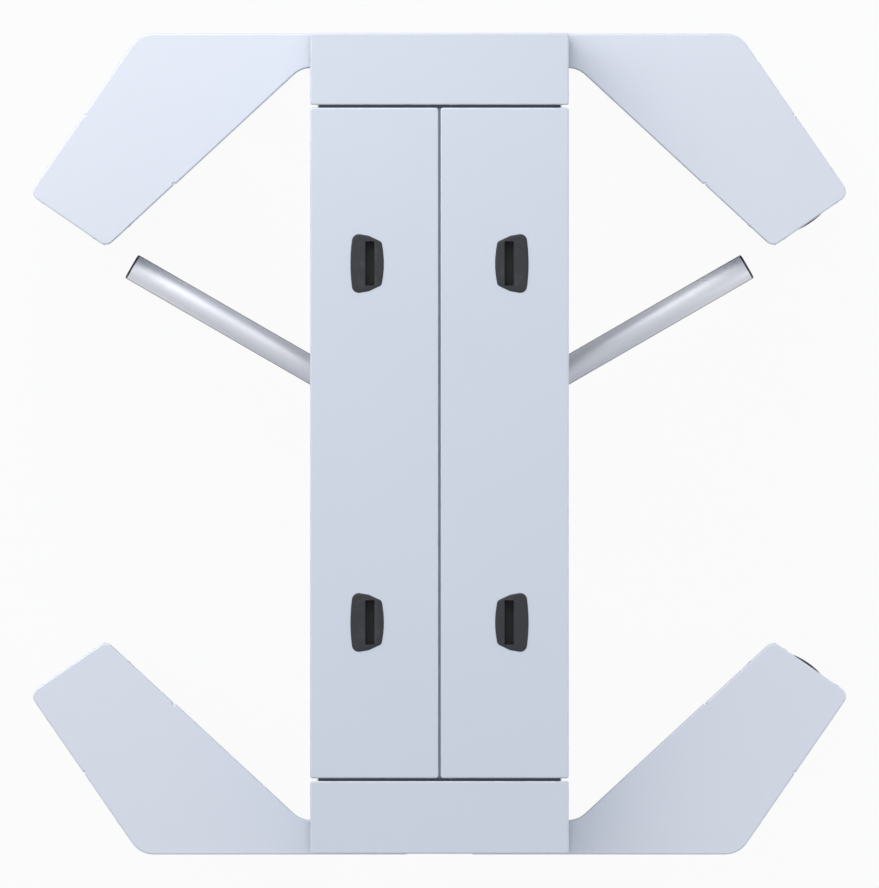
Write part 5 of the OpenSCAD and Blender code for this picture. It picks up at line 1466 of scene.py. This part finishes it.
def make_terminals():
    """Terminal row on its rail, and the screws of the row and the power supply."""
    hat = np.array([[-17.5, 6.5], [-13, 6.5], [-13, 0], [13, 0], [13, 6.5], [17.5, 6.5],
                    [17.5, 7.5], [12, 7.5], [12, 1], [-12, 1], [-12, 7.5], [-17.5, 7.5]]) / 1000
    stepped = np.array([[-23, 7], [23, 7], [23, 27], [15, 31], [15, 40], [8, 48], [-8, 48],
                        [-15, 40], [-15, 31], [-23, 27]]) / 1000
    floor, places = [ROW_Y, TRAY_FLOOR], row_of(12, 0.013)
    rail = Surface()
    extrude(rail, hat + floor, 3e-4, -0.091, 0.091, UP_ALONG_X, steps=2)
    rail.piece("terminal_rail", "frame", "zinc_sheet")
    finishes = {"terminal_grey": slice(0, 8), "terminal_blue": slice(8, 10),
                "earth_green": slice(10, 12)}
    for finish, part in finishes.items():
        some = Surface()
        for x in places[part]:
            extrude(some, stepped + floor, 6e-4, x - 0.006, x + 0.006, UP_ALONG_X, 0.0005, 2)
        nodes = ["terminal_row"] if finish == "terminal_grey" else []
        some.piece(f"{finish}_blocks", "frame", "terminal_grey", nodes, finish)
    strip_at = SUPPLY_AT + [0, STRIP_BACK]
    supply = lift([strip_at + [x, 0] for x in row_of(9, TERMINAL_PITCH)], TRAY_FLOOR + 0.014)
    heads = Surface().copies(slot_screw(0.0032, 0.0022), supply)
    row = [[x, ROW_Y + y, TRAY_FLOOR + 0.0285] for x in places for y in (-0.0192, 0.0192)]
    heads.copies(slot_screw(0.0035, 0.0018), row, wear=0.2)
    heads.piece("terminal_screws", "frame", "zinc_fastener")


def make_control_gear(looks):
    """Control board, power supply and terminal row in the front half of the tray."""
    make_board()
    make_power_supply()
    make_terminals()


# Studio

FLOOR_REACH = 60.0
LAMP_AIM = Vector((0, 0, 1.3))
PICTURE_SIDE = 888

# Name, place, size, share of the key light and colour of each lamp
LAMPS = (
    ("key_lamp", (-1.35, 2.9, 4.8), 3.6, 0.94, (1.0, 0.985, 0.97)),
    ("left_lamp", (-4.0, 1.5, 3.1), 2.0, 0.42, (0.97, 0.985, 1.0)),
    ("right_lamp", (4.0, -0.4, 3.1), 2.0, 0.32, (0.94, 0.97, 1.0)),
    ("front_lamp", (-1.0, -5.0, 2.2), 3.0, 0.07, (0.96, 0.98, 1.0)),
)


def make_floor(scene, looks):
    """Pale floor that is plain white further away, where it is seen directly."""
    mesh = bpy.data.meshes.new("studio_floor")
    mesh.from_pydata(lift(SQUARE * FLOOR_REACH, 0), [], [(0, 1, 2, 3)])
    floor = bpy.data.objects.new("studio_floor", mesh)
    scene.collection.objects.link(floor)
    material = bpy.data.materials.new("studio_floor")
    w = studio_tree(material)
    seen = w.add("LightPath").outputs
    glossy = w.math("MAXIMUM", seen["Is Glossy Ray"], seen["Is Transmission Ray"])
    direct = w.math("MAXIMUM", seen["Is Camera Ray"], glossy)
    paint = w.add("BsdfDiffuse", {"Color": (0.56, 0.57, 0.59, 1.0)}).outputs[0]
    white = w.add("Emission", {"Color": (1.0, 1.0, 1.0, 1.0), "Strength": 1.0}).outputs[0]
    place = w.place()
    away = w.add("VectorMath", {0: place}, operation="LENGTH").outputs["Value"]
    share = w.math("MULTIPLY", direct, w.remap(away, 2.0, 6.0, looks.floor_white, 1.0))
    mixed = w.add("MixShader", {0: share, 1: paint, 2: white}).outputs[0]
    w.add("OutputMaterial", {"Surface": mixed})
    mesh.materials.append(material)


def studio_tree(owner):
    """Empty node tree of a material or a world."""
    owner.use_nodes = True
    owner.node_tree.nodes.clear()
    return Wiring(owner.node_tree)


def make_world(scene, looks):
    """Soft light from one side, and a world that is brighter in reflections and white behind."""
    scene.world = bpy.data.worlds.new("studio")
    w = studio_tree(scene.world)
    seen = w.add("LightPath").outputs
    way = w.add("TexCoord").outputs["Generated"]

    def towards(direction):
        node = w.add("VectorMath", {0: way, 1: direction}, operation="DOT_PRODUCT")
        return node.outputs["Value"]

    def background(colour, strength):
        return w.add("Background", {"Color": (*colour, 1.0), "Strength": strength}).outputs[0]

    glow = w.remap(towards((-0.26, 0.42, 0.55)), -0.75, 0.80, 0.48, 1.06)
    side = w.remap(towards((-0.25, 0.85, 0.35)), -0.9, 0.9, 0.25, 1.45)
    soft = background((0.93, 0.96, 1.0), w.math("MULTIPLY", side, looks.world_light))
    shiny = background((0.95, 0.97, 1.0), glow)
    plain = background((1.0, 1.0, 1.0), 1.0)
    glossy = w.math("MAXIMUM", seen["Is Glossy Ray"], seen["Is Transmission Ray"])
    first = w.add("MixShader", {0: glossy, 1: soft, 2: shiny}).outputs[0]
    last = w.add("MixShader", {0: seen["Is Camera Ray"], 1: first, 2: plain}).outputs[0]
    w.add("OutputWorld", {"Surface": last})


def make_stage(looks):
    """Floor, world and soft lamps, and the camera straight above, far off with a long lens."""
    scene = bpy.context.scene
    make_floor(scene, looks)
    make_world(scene, looks)
    for name, place, size, share, colour in LAMPS:
        data = bpy.data.lights.new(name, "AREA")
        data.shape, data.size, data.color = "DISK", size, colour
        data.energy = looks.key_light * share
        lamp = bpy.data.objects.new(name, data)
        lamp.location = place
        lamp.rotation_euler = (LAMP_AIM - Vector(place)).to_track_quat("-Z", "Y").to_euler()
        scene.collection.objects.link(lamp)

    data = bpy.data.cameras.new("plan_camera")
    data.lens, data.sensor_width, data.sensor_fit = 1600.0, 36.0, "AUTO"
    data.clip_start, data.clip_end = 1.0, 200.0
    camera = bpy.data.objects.new("plan_camera", data)
    long_side = PICTURE_SIDE * looks.pixel
    camera.location = (0.0, 0.0, WALL_TOP + long_side * data.lens / data.sensor_width)
    scene.collection.objects.link(camera)
    scene.camera = camera
    scene.view_settings.view_transform = "Standard"


# Add-on

def colour_property(name, description, default):
    """Setting of one colour."""
    return bpy.props.FloatVectorProperty(name=name, description=description, default=default,
                                         subtype="COLOR", size=3, min=0.0, max=1.0)


def number_property(name, description, default, **settings):
    """Setting of one number, with its limits and unit."""
    return bpy.props.FloatProperty(name=name, description=description, default=default,
                                   **settings)


class TurnstileColours(bpy.types.PropertyGroup):
    """Colours of the finishes"""
    coat: colour_property("Coat", "Powder coat of the covers, lids and pillars",
                          (0.610, 0.650, 0.735))
    steel: colour_property("Steel", "Polished tube of the wings, comb and guide bars",
                           (0.70, 0.71, 0.75))
    # Covers is a lighter, greyer copy of the coat: painted light that brightens the wall covers
    covers: colour_property("Covers", "Powder coat of the wall covers", (0.680, 0.712, 0.785))
    plastic: colour_property("Plastic", "Grips and plugs", (0.014, 0.015, 0.019))
    lens: colour_property("Lens", "Status indicator", (0.060, 0.065, 0.075))


class TurnstileLooks(bpy.types.PropertyGroup):
    """Sizes of the dressing and the light"""
    bend: number_property("Bend radius", "Outer radius of the folds in the sheet covers", 0.0028,
                          min=0.0022, max=0.004, unit="LENGTH")
    weld: number_property("Weld leg", "Leg of the weld beads round the tubes", 0.0035,
                          min=0.001, max=0.006, unit="LENGTH")
    pixel: number_property("Picture scale", "Length at the covers that one pixel shows", 0.0019,
                           min=0.0015, max=0.003, unit="LENGTH")
    key_light: number_property("Key lamp", "Power of the key lamp", 80.0, min=0.0, unit="POWER")
    world_light: number_property("World light", "Strength of the soft light all round", 0.72,
                                 min=0.0)
    floor_white: number_property("Floor white", "Share of plain white in the floor that is seen",
                                 0.94, min=0.0, max=1.0, subtype="FACTOR")


class TURNSTILE_OT_materials(bpy.types.Operator):
    """Make every finish"""
    bl_idname = "turnstile.materials"
    bl_label = "Finishes"

    def execute(self, context):
        MATERIALS.update(make_materials(context.scene.turnstile_colours))
        return {"FINISHED"}


def piece_operator(make):
    """Operator class that runs one of the make functions and takes its name and text."""
    def execute(self, context):
        make(context.scene.turnstile_looks)
        return {"FINISHED"}

    name = make.__name__.removeprefix("make_")
    settings = {"__doc__": make.__doc__, "bl_idname": f"turnstile.{name}",
                "bl_label": name.replace("_", " ").capitalize(), "execute": execute}
    return type(f"TURNSTILE_OT_{name}", (bpy.types.Operator,), settings)


PIECES = [piece_operator(make) for make in (
    make_covers, make_pillars, make_guides, make_posts, make_arms, make_rotor, make_comb,
    make_lids, make_caps, make_tray, make_grips, make_lid_locks, make_controls, make_fixings,
    make_floor_bearing, make_drive, make_lock, make_control_gear, make_stage)]


class TURNSTILE_PT_panel(bpy.types.Panel):
    """Pieces and looks of the turnstile"""
    bl_label = "Turnstile"
    bl_space_type = "VIEW_3D"
    bl_region_type = "UI"
    bl_category = "Turnstile"

    def draw(self, context):
        for group in (context.scene.turnstile_colours, context.scene.turnstile_looks):
            for key in group.__annotations__:
                self.layout.prop(group, key)
        for operator in (TURNSTILE_OT_materials, *PIECES):
            self.layout.operator(operator.bl_idname)


CLASSES = (TurnstileColours, TurnstileLooks, TURNSTILE_OT_materials, *PIECES,
           TURNSTILE_PT_panel)


def register():
    for each in CLASSES:
        bpy.utils.register_class(each)
    bpy.types.Scene.turnstile_colours = bpy.props.PointerProperty(type=TurnstileColours)
    bpy.types.Scene.turnstile_looks = bpy.props.PointerProperty(type=TurnstileLooks)


def unregister():
    del bpy.types.Scene.turnstile_looks
    del bpy.types.Scene.turnstile_colours
    for each in reversed(CLASSES):
        bpy.utils.unregister_class(each)


def main():
    register()
    bpy.ops.turnstile.materials()
    for operator in PIECES:
        getattr(bpy.ops.turnstile, operator.bl_idname.split(".")[1])()


if __name__ == "__main__":
    main()
